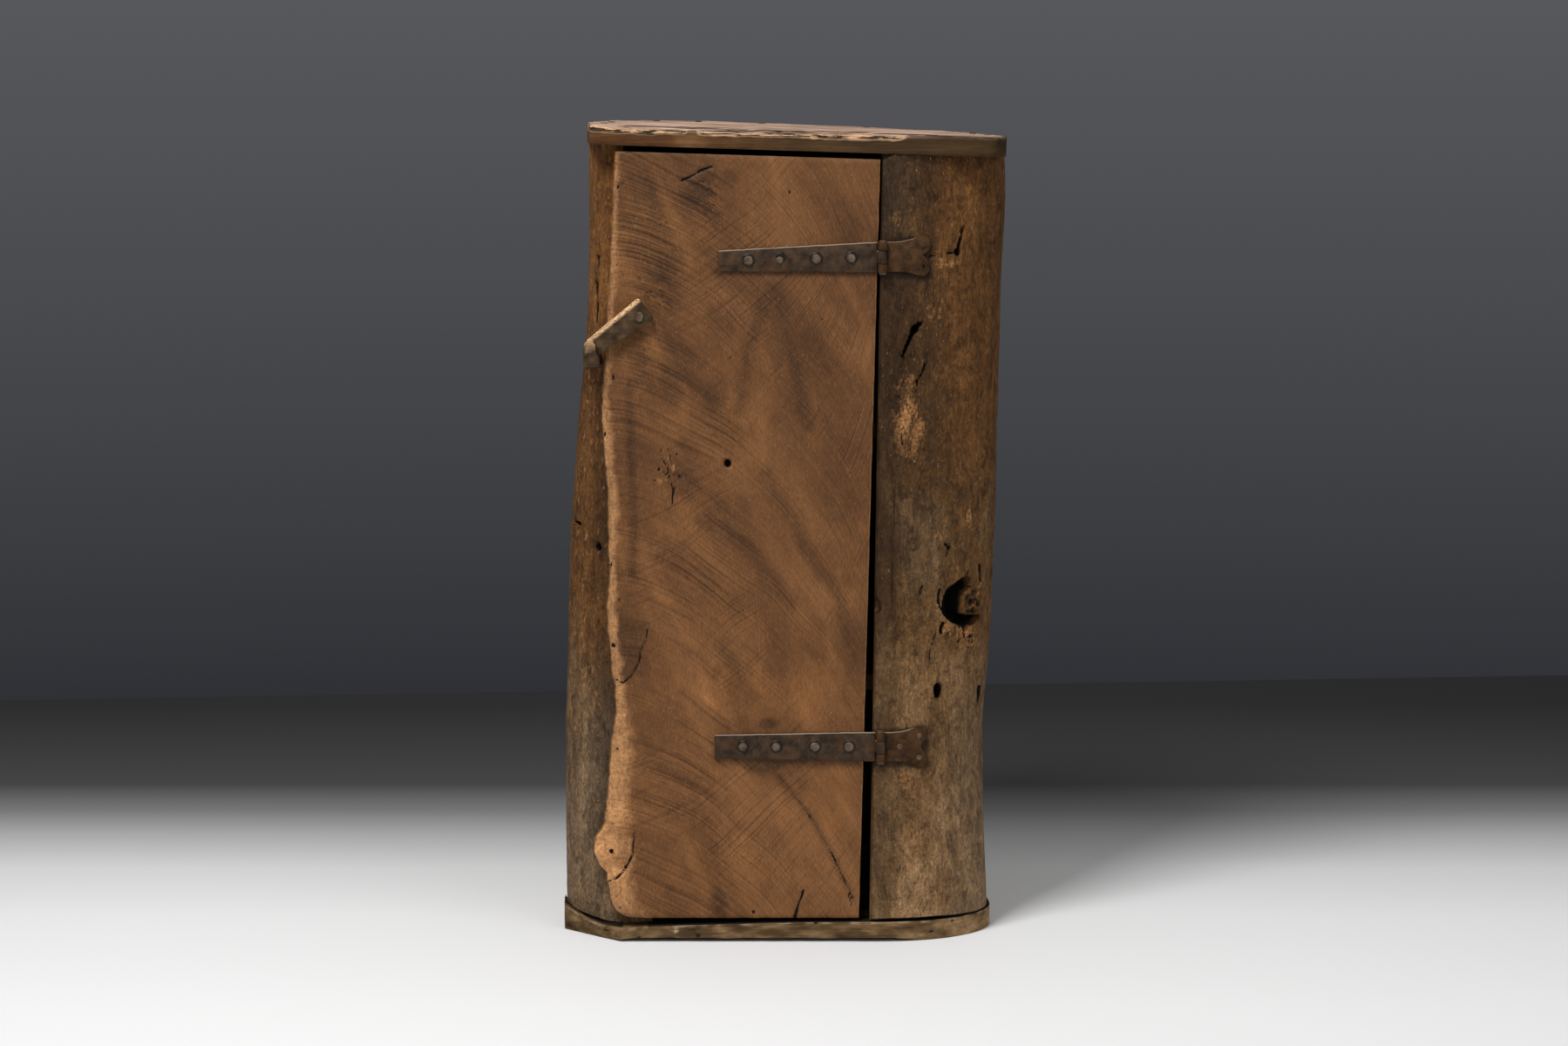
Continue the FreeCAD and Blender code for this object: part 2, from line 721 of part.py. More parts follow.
def make_door(bores):
    body = doc.addObject("PartDesign::Body", "door_blank")
    foot = "base_thickness + door_bottom_gap"
    last = LAP_STATIONS - 1
    edges = ["(%s + lap_%d)" % (opening_left("%d / %d" % (k, last)), k + 1)
             for k in range(LAP_STATIONS)]
    right_top = "%s - door_gap_crown" % opening_right("1")
    right_foot = "%s - door_gap_foot" % opening_right("0")
    high_left = "%s - door_top_gap + %s * tan(crown_tilt)" % (crown_z, edges[last])
    high_right = "%s - door_top_gap - (%s) * tan(crown_tilt)" % (crown_z, right_top)
    sketch = place_sketch(body, "door_face", "XZ_Plane")
    corners = [("-" + edges[0], foot), (right_foot, foot), (right_top, high_right),
               ("-" + edges[last], high_left)]
    spots = [FreeCAD.Vector(*(value(text) for text in corner)) for corner in corners]
    lines = [sketch.addGeometry(Part.LineSegment(spots[k], spots[k + 1])) for k in range(3)]
    rises = ["(%s + (%s - %s) * %d / %d)" % (foot, high_left, foot, k, last) for k in range(LAP_STATIONS)]
    wane = Part.BSplineCurve()
    wane.interpolate([FreeCAD.Vector(-value(edge), value(rise)) for edge, rise in zip(edges, rises)])
    edge = sketch.addGeometry(wane)
    for k, line in enumerate(lines):
        fix_point(sketch, line, 1, corners[k])
    fix_point(sketch, lines[2], 2, corners[3])
    for first, second in ((lines[0], lines[1]), (lines[1], lines[2])):
        sketch.addConstraint(Sketcher.Constraint("Coincident", first, 2, second, 1))
    sketch.addConstraint(Sketcher.Constraint("Coincident", edge, 1, lines[0], 1))
    sketch.addConstraint(Sketcher.Constraint("Coincident", edge, 2, lines[2], 2))
    pad(body, sketch, "door_thickness", backwards=True)
    peep = rod("door_peep", "peep_radius", "door_thickness", PLUS_Y, "%s - peep_offset" % hinge_x, "0",
               "base_thickness + peep_rise")
    nodes.append(seat(cut("door_cut", body, bores + [peep]), "door_plank"))


# Turn button and keeper

def make_latch():
    """Button, screw, keeper and nail. Returns the bore for the door and the tools for the trunk."""
    body = doc.addObject("PartDesign::Body", "button_blank")
    sketch = place_sketch(body, "button_face", "XZ_Plane", "button_gap")
    corners = [
        ("-button_tail", "button_root_half + button_offset"),
        ("button_length", "button_tip_half + button_offset"),
        ("button_length", "button_offset - button_tip_half"),
        ("-button_tail", "button_offset - button_root_half"),
    ]
    turned = [("%s - (%s) * cos(button_droop) - (%s) * sin(button_droop)" % (latch_x, run, side),
               "%s - (%s) * sin(button_droop) + (%s) * cos(button_droop)" % (latch_z, run, side))
              for run, side in corners]
    draw_outline(sketch, turned)
    pad(body, sketch, "button_thickness")
    hole = rod("button_bore", "screw_radius + bore_clearance", "%s + screw_depth" % button_front, PLUS_Y,
               latch_x, "-" + button_front, latch_z)
    nodes.append(seat(cut("button_cut", body, [hole]), "turn_button"))

    shank = rod("screw_shank", "screw_radius", "%s + button_gap + screw_depth" % button_front, PLUS_Y,
                latch_x, "-%s - button_gap" % button_front, latch_z)
    head = rod("screw_head", "screw_head_radius", "screw_head_height", PLUS_Y,
               latch_x, "-%s - button_gap - screw_head_height" % button_front, latch_z)
    nodes.append(seat(join("screw_join", [shank, head]), "button_screw"))

    (_, _), (high_x, high_z), (low_x, low_z), (_, _) = turned
    floor = "%s - keeper_seat" % low_z
    middle = "((%s) + (%s)) / 2" % (low_x, high_x)
    hook = doc.addObject("PartDesign::Body", "keeper_blank")
    sketch = place_sketch(hook, "keeper_side", "YZ_Plane", "%s - keeper_width / 2" % middle)
    lip_back = "-%s - lip_clearance" % button_front
    draw_outline(sketch, [
        ("-" + lip_front, "%s - keeper_height" % floor), ("keeper_depth", "%s - keeper_height" % floor),
        ("keeper_depth", floor), (lip_back, floor), (lip_back, "%s + lip_rise" % floor),
        ("-" + lip_front, "%s + lip_rise" % floor),
    ])
    pad(hook, sketch, "keeper_width")
    outside = "%s - keeper_width / 2" % middle
    across = "%s - keeper_height / 2" % floor
    pin_shank = rod("keeper_nail_shank", "nail_radius", "keeper_nail_length", PLUS_X,
                    outside, "keeper_nail_depth", across)
    pin_cap = rod("keeper_nail_cap", "nail_head_radius", "nail_head_height", PLUS_X,
                  outside + " - nail_head_height", "keeper_nail_depth", across)
    pin_hole = rod("keeper_nail_bore", "nail_radius + bore_clearance", "keeper_nail_length", PLUS_X,
                   outside, "keeper_nail_depth", across)
    nodes.append(seat(cut("keeper_cut", hook, [pin_hole]), "latch_keeper"))
    nodes.append(seat(join("keeper_nail_join", [pin_shank, pin_cap]), "keeper_nail"))

    notch = doc.addObject("Part::Box", "keeper_notch")
    bind(notch, Length="trunk_left", Width="keeper_depth + 2 * bore_clearance")
    bind(notch, Height="keeper_height + 2 * bore_clearance")
    bind(notch, Placement__Base__x="%s + keeper_width / 2 + bore_clearance - trunk_left" % middle)
    bind(notch, Placement__Base__y="-bore_clearance")
    bind(notch, Placement__Base__z="%s - keeper_height - bore_clearance" % floor)
    return [hole], [notch, pin_hole]


nodes = []
board_bores = make_boards()
shelf_bores = make_shelf("lower_shelf", "lower_shelf_rise")
shelf_bores += make_shelf("upper_shelf", "(trunk_height - upper_shelf_drop)")
upper_rivet_bores, upper_nail_bores = make_hinge("upper", "(base_thickness + trunk_height - hinge_drop)")
lower_rivet_bores, lower_nail_bores = make_hinge("lower", "(base_thickness + hinge_rise)")
screw_bore, keeper_tools = make_latch()
make_door(upper_rivet_bores + lower_rivet_bores + screw_bore)
trunk_tools = board_bores + shelf_bores + upper_nail_bores + lower_nail_bores + keeper_tools
trunk_tools.append(make_knot_tool())
nodes.append(seat(cut("trunk_cut", make_trunk_blank(), trunk_tools), "trunk_shell"))
doc.recompute()

broken = [item.Label for item in doc.Objects if {"Invalid", "Error"} & set(item.State)]
broken += [node.Label for node in nodes if node.Shape.isNull() or not node.Shape.isValid()]
if broken:
    raise RuntimeError("These sub-parts did not build: %s" % ", ".join(broken))
os.makedirs("parts", exist_ok=True)
for node in nodes:
    node.Shape.exportStep("parts/%s.step" % node.Label)
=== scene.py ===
# %% [markdown]
# # Carved trunk cabinet
# A tree trunk was hollowed out, opened at the front and closed again with one wide sawn plank on strap
# hinges. A turn button on the plank catches behind a wooden hook on the trunk. A cracked board lies on
# top and another one below. Construction and motion come from the packed frame, and this script dresses
# that frame: every new piece goes where the frame says, rides on one of its bodies and gets a finish.

# %% Load the frame and keep its box
import math

import bpy
import numpy as np
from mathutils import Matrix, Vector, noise


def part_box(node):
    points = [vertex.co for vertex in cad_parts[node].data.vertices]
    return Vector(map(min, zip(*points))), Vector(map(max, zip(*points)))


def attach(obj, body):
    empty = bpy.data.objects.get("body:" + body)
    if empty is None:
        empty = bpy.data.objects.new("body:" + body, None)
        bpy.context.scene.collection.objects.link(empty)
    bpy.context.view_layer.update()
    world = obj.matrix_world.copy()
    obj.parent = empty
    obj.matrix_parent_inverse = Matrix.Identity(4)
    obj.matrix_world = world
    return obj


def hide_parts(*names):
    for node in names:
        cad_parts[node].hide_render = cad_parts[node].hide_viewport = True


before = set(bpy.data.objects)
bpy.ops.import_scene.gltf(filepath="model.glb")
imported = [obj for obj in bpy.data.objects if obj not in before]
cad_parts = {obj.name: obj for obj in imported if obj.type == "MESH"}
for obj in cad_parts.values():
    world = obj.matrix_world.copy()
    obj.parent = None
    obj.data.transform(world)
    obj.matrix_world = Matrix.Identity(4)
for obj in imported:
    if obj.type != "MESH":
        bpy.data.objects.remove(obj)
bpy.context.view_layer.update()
scene = bpy.context.scene
scene.view_settings.view_transform = "Standard"

# %% [markdown]
# ## Camera
# The photographer stood about four metres away with a long lens at the height of the lid and looked a
# little down, so upright lines stay nearly parallel. One pixel is then about one millimetre on the door.

# %% Camera
EYE, LOOK = (0.004, -4.1733, 1.052), math.radians(82.111)
bpy.ops.object.select_all(action="DESELECT")
bpy.ops.object.camera_add(location=EYE, rotation=(LOOK, 0, 0))
camera = bpy.context.object
camera.data.lens = 80
camera.data.sensor_width = 36
scene.camera = camera
print("camera", tuple(round(value, 3) for value in camera.location))

# %% [markdown]
# ## Finishes from plain steps
# A finish could be painted, but then it would need pictures. Here each one is put together from random
# fields that are stretched along the grain, coloured by ramps and mixed. The small class below keeps that
# short: each method adds nodes and hands back the socket that the next step reads. Sizes are given in
# millimetres along x, y and z, because that is how one would measure grain with a ruler.

# %% A class for finishes
def feed(tree, socket, source):
    """Give a socket a number, or the socket that feeds it."""
    if isinstance(source, bpy.types.NodeSocket):
        tree.links.new(source, socket)
    else:
        socket.default_value = source


def add_node(tree, kind, inputs=None, **settings):
    """Add a node, change its settings and feed its inputs."""
    item = tree.nodes.new("ShaderNode" + kind)
    for name, setting in settings.items():
        setattr(item, name, setting)
    for key, source in (inputs or {}).items():
        feed(tree, item.inputs[key], source)
    return item


def tone(red, green, blue):
    """A colour for a socket."""
    return (red, green, blue, 1.0)


class Finish:
    def __init__(self, name):
        self.material = bpy.data.materials.new(name)
        self.material.use_nodes = True
        self.tree = self.material.node_tree
        self.surface = self.tree.nodes["Principled BSDF"]
        self.spot = self.add("TexCoord").outputs["Object"]
        self.x, self.y, self.z = self.add("SeparateXYZ", {0: self.spot}).outputs

    def add(self, kind, inputs=None, **settings):
        return add_node(self.tree, kind, inputs, **settings)

    def cloud(self, size, detail=4.0, rough=0.55, bend=0.0, shift=0.0, turn=0.0, spot=None):
        """Random field from 0 to 1 that changes over the given millimetres along x, y and z."""
        turned = self.add("Mapping", {"Vector": spot or self.spot, "Rotation": (0, turn, 0)})
        place = self.add("Mapping", {"Vector": turned.outputs[0], "Location": (shift, shift, shift),
                                     "Scale": [1000 / step for step in size]})
        made = self.add("TexNoise", {"Vector": place.outputs[0], "Scale": 1.0, "Detail": detail,
                                     "Roughness": rough, "Distortion": bend})
        return made.outputs[0]

    def mark(self, name):
        """A value that was painted on the piece's points."""
        return self.add("Attribute", attribute_name=name).outputs["Fac"]

    def spread(self, source, low, high, start=0.0, end=1.0):
        """From start to end while the source goes from low to high."""
        return self.add("MapRange", {0: source, 1: low, 2: high, 3: start, 4: end}).outputs[0]

    def ramp(self, source, *stops):
        """Colours at places from 0 to 1. A single number stands for a grey."""
        item = self.add("ValToRGB", {0: source})
        dots = item.color_ramp.elements
        while len(dots) < len(stops):
            dots.new(0.5)
        for dot, (place, colour) in zip(dots, stops):
            dot.position = place
            shade = colour if isinstance(colour, tuple) else (colour, colour, colour)
            dot.color = (*shade, 1.0)
        return item.outputs[0]

    def mix(self, share, first, second, way="MIX"):
        item = self.add("Mix", {0: share, 6: first, 7: second}, data_type="RGBA", blend_type=way)
        return item.outputs[2]

    def tinted(self, share, colour, source, *stops):
        """A colour that is multiplied by the ramp of a field."""
        return self.mix(share, colour, self.ramp(source, *stops), "MULTIPLY")

    def cover(self, share, colour):
        """Lay a colour over the finish, as far as the share says."""
        self.colour = self.mix(share, self.colour, colour)

    def tint(self, share, source, *stops):
        """Multiply the finish by the ramp of a field."""
        self.colour = self.tinted(share, self.colour, source, *stops)

    def brighten(self, share, *times):
        """Multiply red, green and blue of the finish."""
        self.colour = self.mix(share, self.colour, tone(*times), "MULTIPLY")

    def reckon(self, way, first, second=0.0, clamp=False):
        return self.add("Math", {0: first, 1: second}, operation=way, use_clamp=clamp).outputs[0]

    def plus(self, first, second, clamp=False):
        return self.reckon("ADD", first, second, clamp)

    def minus(self, first, second):
        return self.reckon("SUBTRACT", first, second)

    def times(self, first, second, clamp=False):
        return self.reckon("MULTIPLY", first, second, clamp)

    def weigh(self, *pairs):
        """The sum of fields that count by their weights."""
        first, *others = [self.times(source, weight) for source, weight in pairs]
        for other in others:
            first = self.plus(first, other)
        return first

    def crisp(self, mark, ragged, amount=0.5, soft=0.07):
        """A painted mark with a hard and ragged edge, finer than the points that it was painted on."""
        shifted = self.plus(mark, self.times(self.minus(ragged, 0.5), amount))
        return self.ramp(shifted, (0.5 - soft, 0.0), (0.5 + soft, 1.0))

    def done(self, rough, height, depth, gloss, metal=0.0):
        """Plug colour, roughness and a bump of that depth in millimetres into the surface."""
        bump = self.add("Bump", {"Strength": 1.0, "Distance": depth / 1000, "Height": height})
        looks = {"Base Color": self.colour, "Roughness": rough, "Normal": bump.outputs[0],
                 "Specular IOR Level": gloss, "Metallic": metal}
        for key, source in looks.items():
            feed(self.tree, self.surface.inputs[key], source)
        print("finish:", self.material.name)
        return self.material


print("steps of a finish:", ", ".join(step for step in vars(Finish) if not step.startswith("_")))

# %% [markdown]
# ## Studio
# The photograph has a pale floor that falls into shade behind the cabinet, and a dark grey wall. A wall
# would stand in the way of the other views, so the world shows that grey to the camera instead, and gives
# only plain soft light to the object. One large soft lamp hangs in front at the upper left, a weaker one
# fills in from the right, and a third one lights the lid.

# %% World
world = bpy.data.worlds.new("grey studio")
world.use_nodes = True
scene.world = world
sky = world.node_tree
direction = add_node(sky, "TexCoord").outputs["Generated"]
climb = add_node(sky, "SeparateXYZ", {0: direction}).outputs[2]
wall_share = add_node(sky, "MapRange", {0: climb, 1: -0.184, 2: 0.01}).outputs[0]
wall_grey = add_node(sky, "ValToRGB", {0: wall_share})
wall_grey.color_ramp.elements[0].color = tone(0.029, 0.0305, 0.036)
wall_grey.color_ramp.elements[1].color = tone(0.096, 0.097, 0.105)
wall = add_node(sky, "Background", {0: wall_grey.outputs[0], 1: 1.0})
soft_light = add_node(sky, "Background", {0: tone(1.0, 1.0, 1.0), 1: 0.27})
rays = add_node(sky, "LightPath").outputs
seen = rays["Is Camera Ray"]
for kind in ("Is Glossy Ray", "Is Transmission Ray"):
    seen = add_node(sky, "Math", {0: seen, 1: rays[kind]}, operation="MAXIMUM").outputs[0]
both = add_node(sky, "MixShader", {0: seen, 1: soft_light.outputs[0], 2: wall.outputs[0]})
sky_out = next(item for item in sky.nodes if item.type == "OUTPUT_WORLD")
sky.links.new(both.outputs[0], sky_out.inputs[0])
print("world has", len(sky.nodes), "nodes")


# %% Lamps
def soft_lamp(name, place, aim, width, power):
    bpy.ops.object.light_add(type="AREA", location=place)
    lamp = bpy.context.object
    lamp.name = name
    lamp.data.size = width
    lamp.data.energy = power
    across, back, up = (a - p for a, p in zip(aim, place))
    lamp.rotation_euler = (math.atan2(math.hypot(across, back), -up), 0, math.atan2(-across, back))
    print(name, power, "W")


soft_lamp("key_lamp", (-1.05, -1.7, 3.3), (0, 0, 0.5), 1.0, 118)
soft_lamp("fill_lamp", (2.4, -2.6, 1.7), (0, 0, 0.5), 2.0, 31)
soft_lamp("lid_lamp", (0.2, 0.3, 3.2), (0, 0, 0.9), 1.6, 7)

# %% Floor
FAR_EDGE, FAR_SLANT = 1.45, 0.087
bpy.ops.object.select_all(action="DESELECT")
bpy.ops.mesh.primitive_plane_add(size=1)
floor = bpy.context.object
floor.name = "floor"
floor.scale = (6.4, 4.64, 1)
floor.location = (0, -0.9, 0)
bpy.ops.object.transform_apply(location=True, rotation=True, scale=True)
for vertex in floor.data.vertices:
    if vertex.co.y > 0:
        vertex.co.y = FAR_EDGE + FAR_SLANT * vertex.co.x
pale = Finish("pale floor")
# The floor's colour darkens from front to back: painted shade where the light falls off behind the cabinet.
pale.colour = pale.ramp(pale.spread(pale.y, -0.45, 1.35), (0.0, 0.76), (0.22, 0.73), (0.36, 0.62),
                        (0.455, 0.42), (0.545, 0.200), (0.64, 0.068), (0.75, 0.056), (0.97, 0.036))
floor.data.materials.append(pale.done(0.9, pale.cloud((2, 2, 2)), 0.05, 0.0))
print("floor reaches y =", round(max(vertex.co.y for vertex in floor.data.vertices), 2))

# %% [markdown]
# ## Wood of the trunk
# Old trunk wood is dark brown near the lid and golden brown near the foot, with long upright streaks. It
# has a few very dark holes and cracks, a pale patch that worms have eaten, and a left side that is red above
# and grey below. The streaks are stretched random fields. The special places are painted on the points
# later, as marks: pit for holes and for painted shade in the gap over the foot, raw for pale wood, warm and
# grey for the tint, shade for painted shade, light for painted light and paler wood, and back. Drying cracks
# run up the back, where the photograph says nothing, as thin lines of one more field.

# %% Trunk finish: colour
trunk = Finish("trunk wood")
patches = trunk.cloud((48, 48, 120), detail=4, rough=0.6, bend=0.8)
streaks = trunk.cloud((4.5, 4.5, 70), detail=5, rough=0.65, bend=0.5)
fibres = trunk.cloud((1.6, 1.6, 8), detail=4, rough=0.7, bend=0.6)
mottle = trunk.cloud((12, 12, 21), detail=5, rough=0.68, bend=1.0, shift=3.1)
grains = trunk.cloud((3.0, 3.0, 4.2), detail=4, rough=0.7, shift=5.5)
flecks = trunk.cloud((2.2, 2.2, 6.5), detail=3, rough=0.6, shift=7.7)
curls = trunk.cloud((9, 9, 8), detail=2, rough=0.5, bend=1.4, shift=9.4)
checks = trunk.cloud((26, 26, 620), detail=3, rough=0.6, shift=4.6)
height_share = trunk.spread(trunk.z, 0.03, 0.93)
lit = trunk.plus(patches, trunk.times(trunk.minus(0.42, height_share), 0.42))
trunk.colour = trunk.ramp(lit, (0.26, (0.052, 0.0230, 0.0062)), (0.46, (0.080, 0.037, 0.0105)),
                          (0.62, (0.128, 0.066, 0.0240)), (0.80, (0.225, 0.128, 0.0560)))
warm_brown = trunk.ramp(lit, (0.30, (0.092, 0.0370, 0.0088)), (0.75, (0.170, 0.0720, 0.0180)))
grey_brown = trunk.ramp(lit, (0.40, (0.052, 0.0318, 0.0162)), (0.80, (0.113, 0.0720, 0.0395)))
trunk.cover(trunk.mark("warm"), warm_brown)
trunk.cover(trunk.mark("grey"), grey_brown)
trunk.tint(1.0, height_share, (0.08, 1.74), (0.28, 1.48), (0.40, 1.05), (0.50, 0.84), (0.66, 0.88),
           (0.93, 1.02))
# The light mark is painted light on the right round and the left side, and paler wood in crumbs and streaks.
trunk.brighten(trunk.mark("light"), 1.7, 1.7, 1.7)
print("trunk colours ready")

# %% Trunk finish: streaks, cracks and relief
trunk.tint(0.5, streaks, (0.32, 0.68), (0.5, 1.0), (0.68, 1.24))
trunk.tint(0.9, mottle, (0.34, 0.46), (0.5, 1.0), (0.66, 1.42))
trunk.tint(0.7, fibres, (0.32, 0.55), (0.68, 1.42))
trunk.tint(0.85, grains, (0.32, 0.52), (0.68, 1.46))
on_curl = trunk.ramp(curls, (0.455, 0.0), (0.475, 1.0), (0.49, 1.0), (0.51, 0.0))
on_curl = trunk.times(on_curl, trunk.ramp(patches, (0.46, 0.0), (0.62, 0.8)))
trunk.brighten(on_curl, 1.75, 1.75, 1.75)
eaten = trunk.tinted(1.0, tone(0.37, 0.172, 0.060), grains, (0.36, 0.22), (0.60, 1.25))
trunk.cover(trunk.crisp(trunk.mark("raw"), grains, 0.9, 0.35), eaten)
trunk.cover(trunk.ramp(flecks, (0.66, 0.0), (0.74, 0.8)), tone(0.36, 0.240, 0.130))
drying = trunk.ramp(checks, (0.478, 0.0), (0.494, 1.0), (0.5, 1.0), (0.512, 0.0))
drying = trunk.times(drying, trunk.mark("back"))
trunk.cover(drying, tone(0.010, 0.006, 0.004))
trunk.cover(trunk.mark("shade"), tone(0.011, 0.0060, 0.0030))
trunk.cover(trunk.crisp(trunk.mark("pit"), grains, 0.5), tone(0.0035, 0.0025, 0.0018))
relief = trunk.weigh((streaks, 0.5), (fibres, 0.45), (mottle, 0.9), (grains, 0.6), (drying, -1),
                     (on_curl, 0.35))
trunk_wood = trunk.done(trunk.ramp(mottle, (0.3, 0.8), (0.7, 0.56)), relief, 2.6, 0.16)

# %% [markdown]
# ## Wood of the door
# The plank was cut with a large round saw, which left fine arcs across the whole face. Their circle has a
# radius of about 50 cm and its middle lies on a line left of the door. A wave texture would give
# evenly spaced lines, so the height of the arc at each x is worked out here, and a random field that is
# very fine across the arcs and long along them is read from there. Fainter arcs cross the first ones.

# %% Door finish: the arcs
ARC_RADIUS, ARC_MIDDLE = 0.50, -0.36
LEFT_END, LEFT_FALL, LEFT_SLOPE = 0.185, 0.0316, 0.12
door = Finish("door wood")
drift = door.times(door.minus(door.cloud((120, 50, 160), detail=1, shift=7.1), 0.5), 0.05)
run = door.plus(door.minus(door.x, ARC_MIDDLE), drift)
rest = door.minus(ARC_RADIUS ** 2, door.times(run, run))
fall = door.minus(ARC_RADIUS, door.reckon("SQRT", door.reckon("MAXIMUM", rest, 0.0004)))
turned_up = door.minus(LEFT_FALL, door.times(door.plus(door.x, LEFT_END), LEFT_SLOPE))
bent = door.add("Math", {0: fall, 1: turned_up, 2: 0.02}, operation="SMOOTH_MAX").outputs[0]
down_arc = door.plus(door.z, bent)
up_arc = door.minus(door.z, fall)


def saw_lines(arc, size, shift):
    spot = door.add("CombineXYZ", {0: door.x, 1: 0.0, 2: arc}).outputs[0]
    return door.cloud(size, detail=1.5, rough=0.5, shift=shift, spot=spot)


lines = saw_lines(down_arc, (230, 50, 3.7), 0.0)
deep_lines = saw_lines(down_arc, (9, 50, 3.6), 5.3)
cross_lines = saw_lines(up_arc, (230, 50, 3.9), 9.1)
print("saw arcs ready")

# %% Door finish: colour and relief
where = door.cloud((90, 90, 130), detail=2, shift=2.2)
where_cross = door.cloud((110, 110, 150), detail=2, shift=6.4)
stains = door.cloud((70, 70, 190), detail=4, rough=0.55, bend=0.6, turn=math.radians(24))
smudges = door.cloud((20, 20, 40), detail=4, rough=0.6, turn=math.radians(18), shift=1.7)
pores = door.cloud((1.0, 1.0, 6.0), detail=3, shift=4.0)
flecks = door.cloud((1.8, 1.8, 2.4), detail=2, shift=8.8)
splinters = door.cloud((3.0, 3.0, 5.0), detail=4, rough=0.7, shift=3.3)
chatter, light, raw = (door.mark(name) for name in ("chatter", "light", "raw"))
# The colour lightens towards the bottom of the door: painted sheen on the lower half.
door.colour = door.ramp(door.plus(stains, door.spread(door.z, 0.10, 0.75, 0.10, -0.03)),
                        (0.30, (0.076, 0.0320, 0.0108)), (0.46, (0.116, 0.0482, 0.0156)),
                        (0.58, (0.150, 0.0630, 0.0206)), (0.74, (0.202, 0.087, 0.0300)))
door.tint(0.8, smudges, (0.30, 0.80), (0.5, 1.0), (0.72, 1.13))
# The light mark is painted light: sheen on the door and a highlight on the bare live edge low down, with
# paler wood.
door.brighten(light, 1.2, 1.2, 1.12)
# Stains, and the painted shadow under the straps, broken up by the saw lines.
broken_stain = door.times(door.mark("stain"), door.ramp(lines, (0.40, 1.2), (0.60, 0.82)))
door.cover(broken_stain, tone(0.030, 0.0135, 0.0055))
left_more = door.spread(door.x, -0.13, 0.03, 1.0, 0.55)
saw_strength = door.times(door.ramp(where, (0.36, 0.15), (0.62, 0.75)), left_more)
saw_strength = door.plus(saw_strength, door.times(chatter, 0.6), True)
cross_strength = door.ramp(where_cross, (0.44, 0.0), (0.62, 0.7))
door.tint(saw_strength, lines, (0.36, 0.48), (0.44, 0.98), (0.56, 1.0), (0.64, 1.30))
door.tint(cross_strength, cross_lines, (0.36, 0.55), (0.44, 1.0), (0.64, 1.16))
torn = door.ramp(deep_lines, (0.55, 0.0), (0.61, 1.0))
torn = door.times(torn, door.ramp(smudges, (0.44, 0.0), (0.6, 1.0)))
torn = door.times(torn, door.times(chatter, 0.75), True)
door.cover(torn, tone(0.042, 0.0190, 0.0080))
door.tint(0.7, pores, (0.35, 0.70), (0.65, 1.22))
door.cover(door.ramp(flecks, (0.69, 0.0), (0.76, 0.7)), tone(0.34, 0.20, 0.10))
fresh = door.tinted(0.9, tone(0.430, 0.212, 0.086), smudges, (0.32, 0.78), (0.68, 1.28))
fresh = door.tinted(0.8, fresh, splinters, (0.36, 0.68), (0.60, 1.3))
door.cover(door.crisp(raw, splinters, 0.55, 0.48), fresh)
# Painted light again, now over the bare wood too.
door.brighten(light, 1.45, 1.45, 1.45)
door.cover(door.crisp(door.mark("pit"), splinters, 0.45), tone(0.005, 0.0035, 0.0025))
relief = door.weigh((lines, saw_strength), (door.times(cross_lines, cross_strength), 0.7), (pores, 0.2),
                    (torn, -1), (door.times(splinters, raw), 1.8))
door_wood = door.done(door.ramp(lines, (0.3, 0.74), (0.7, 0.54)), relief, 2.4, 0.18)

# %% [markdown]
# ## Wood of the boards
# The lid is grey pink where weather reached it and pale where its upper edge broke away. The foot is a
# dull olive brown with rubbed edges. Grain runs along the boards, so the fields are long in x. The shelves
# and pegs never saw the weather and are plain brown. The button and its hook are grey from handling.


# %% Finishes of lid, foot, shelves, pegs and button
def board_finish(name, tones, worn, dark, depth, edges=(), patch=(90, 60, 60), slit_at=0.54):
    """Wood of three tones. Its edge can have three tones of its own at the left and three at the right."""
    wood = Finish(name)
    broad = wood.cloud(patch, detail=4, shift=len(name))
    grain = wood.cloud((150, 7, 7), detail=5, rough=0.6, shift=len(name))
    fibre = wood.cloud((40, 1.6, 1.6), detail=3)
    ragged = wood.cloud((34, 14, 4.5), detail=3.5, rough=0.6, bend=0.4, shift=6.2)
    wood.colour, *rims = [wood.ramp(broad, *zip((0.3, 0.5, 0.7), three)) for three in (tones, *edges)]
    if rims:
        wood.cover(wood.mark("edge"), wood.mix(wood.spread(wood.x, -0.12, 0.02), *rims))
    wood.tint(0.8, grain, (0.3, 0.5), (0.5, 0.95), (0.72, 1.3))
    wood.tint(0.6, fibre, (0.3, 0.65), (0.7, 1.25))
    bare = wood.tinted(0.9, worn, fibre, (0.36, 0.30), (0.62, 1.5))
    wood.cover(wood.mark("raw"), bare)
    slits = wood.times(wood.ramp(ragged, (slit_at, 0.0), (slit_at + 0.03, 1.0)), wood.mark("split"))
    wood.cover(slits, dark)
    wood.cover(wood.crisp(wood.mark("pit"), ragged, 0.6), dark)
    height = wood.weigh((grain, 1), (fibre, 0.4), (slits, -1))
    return wood.done(wood.ramp(grain, (0.2, 0.88), (0.8, 0.66)), height, depth, 0.12)


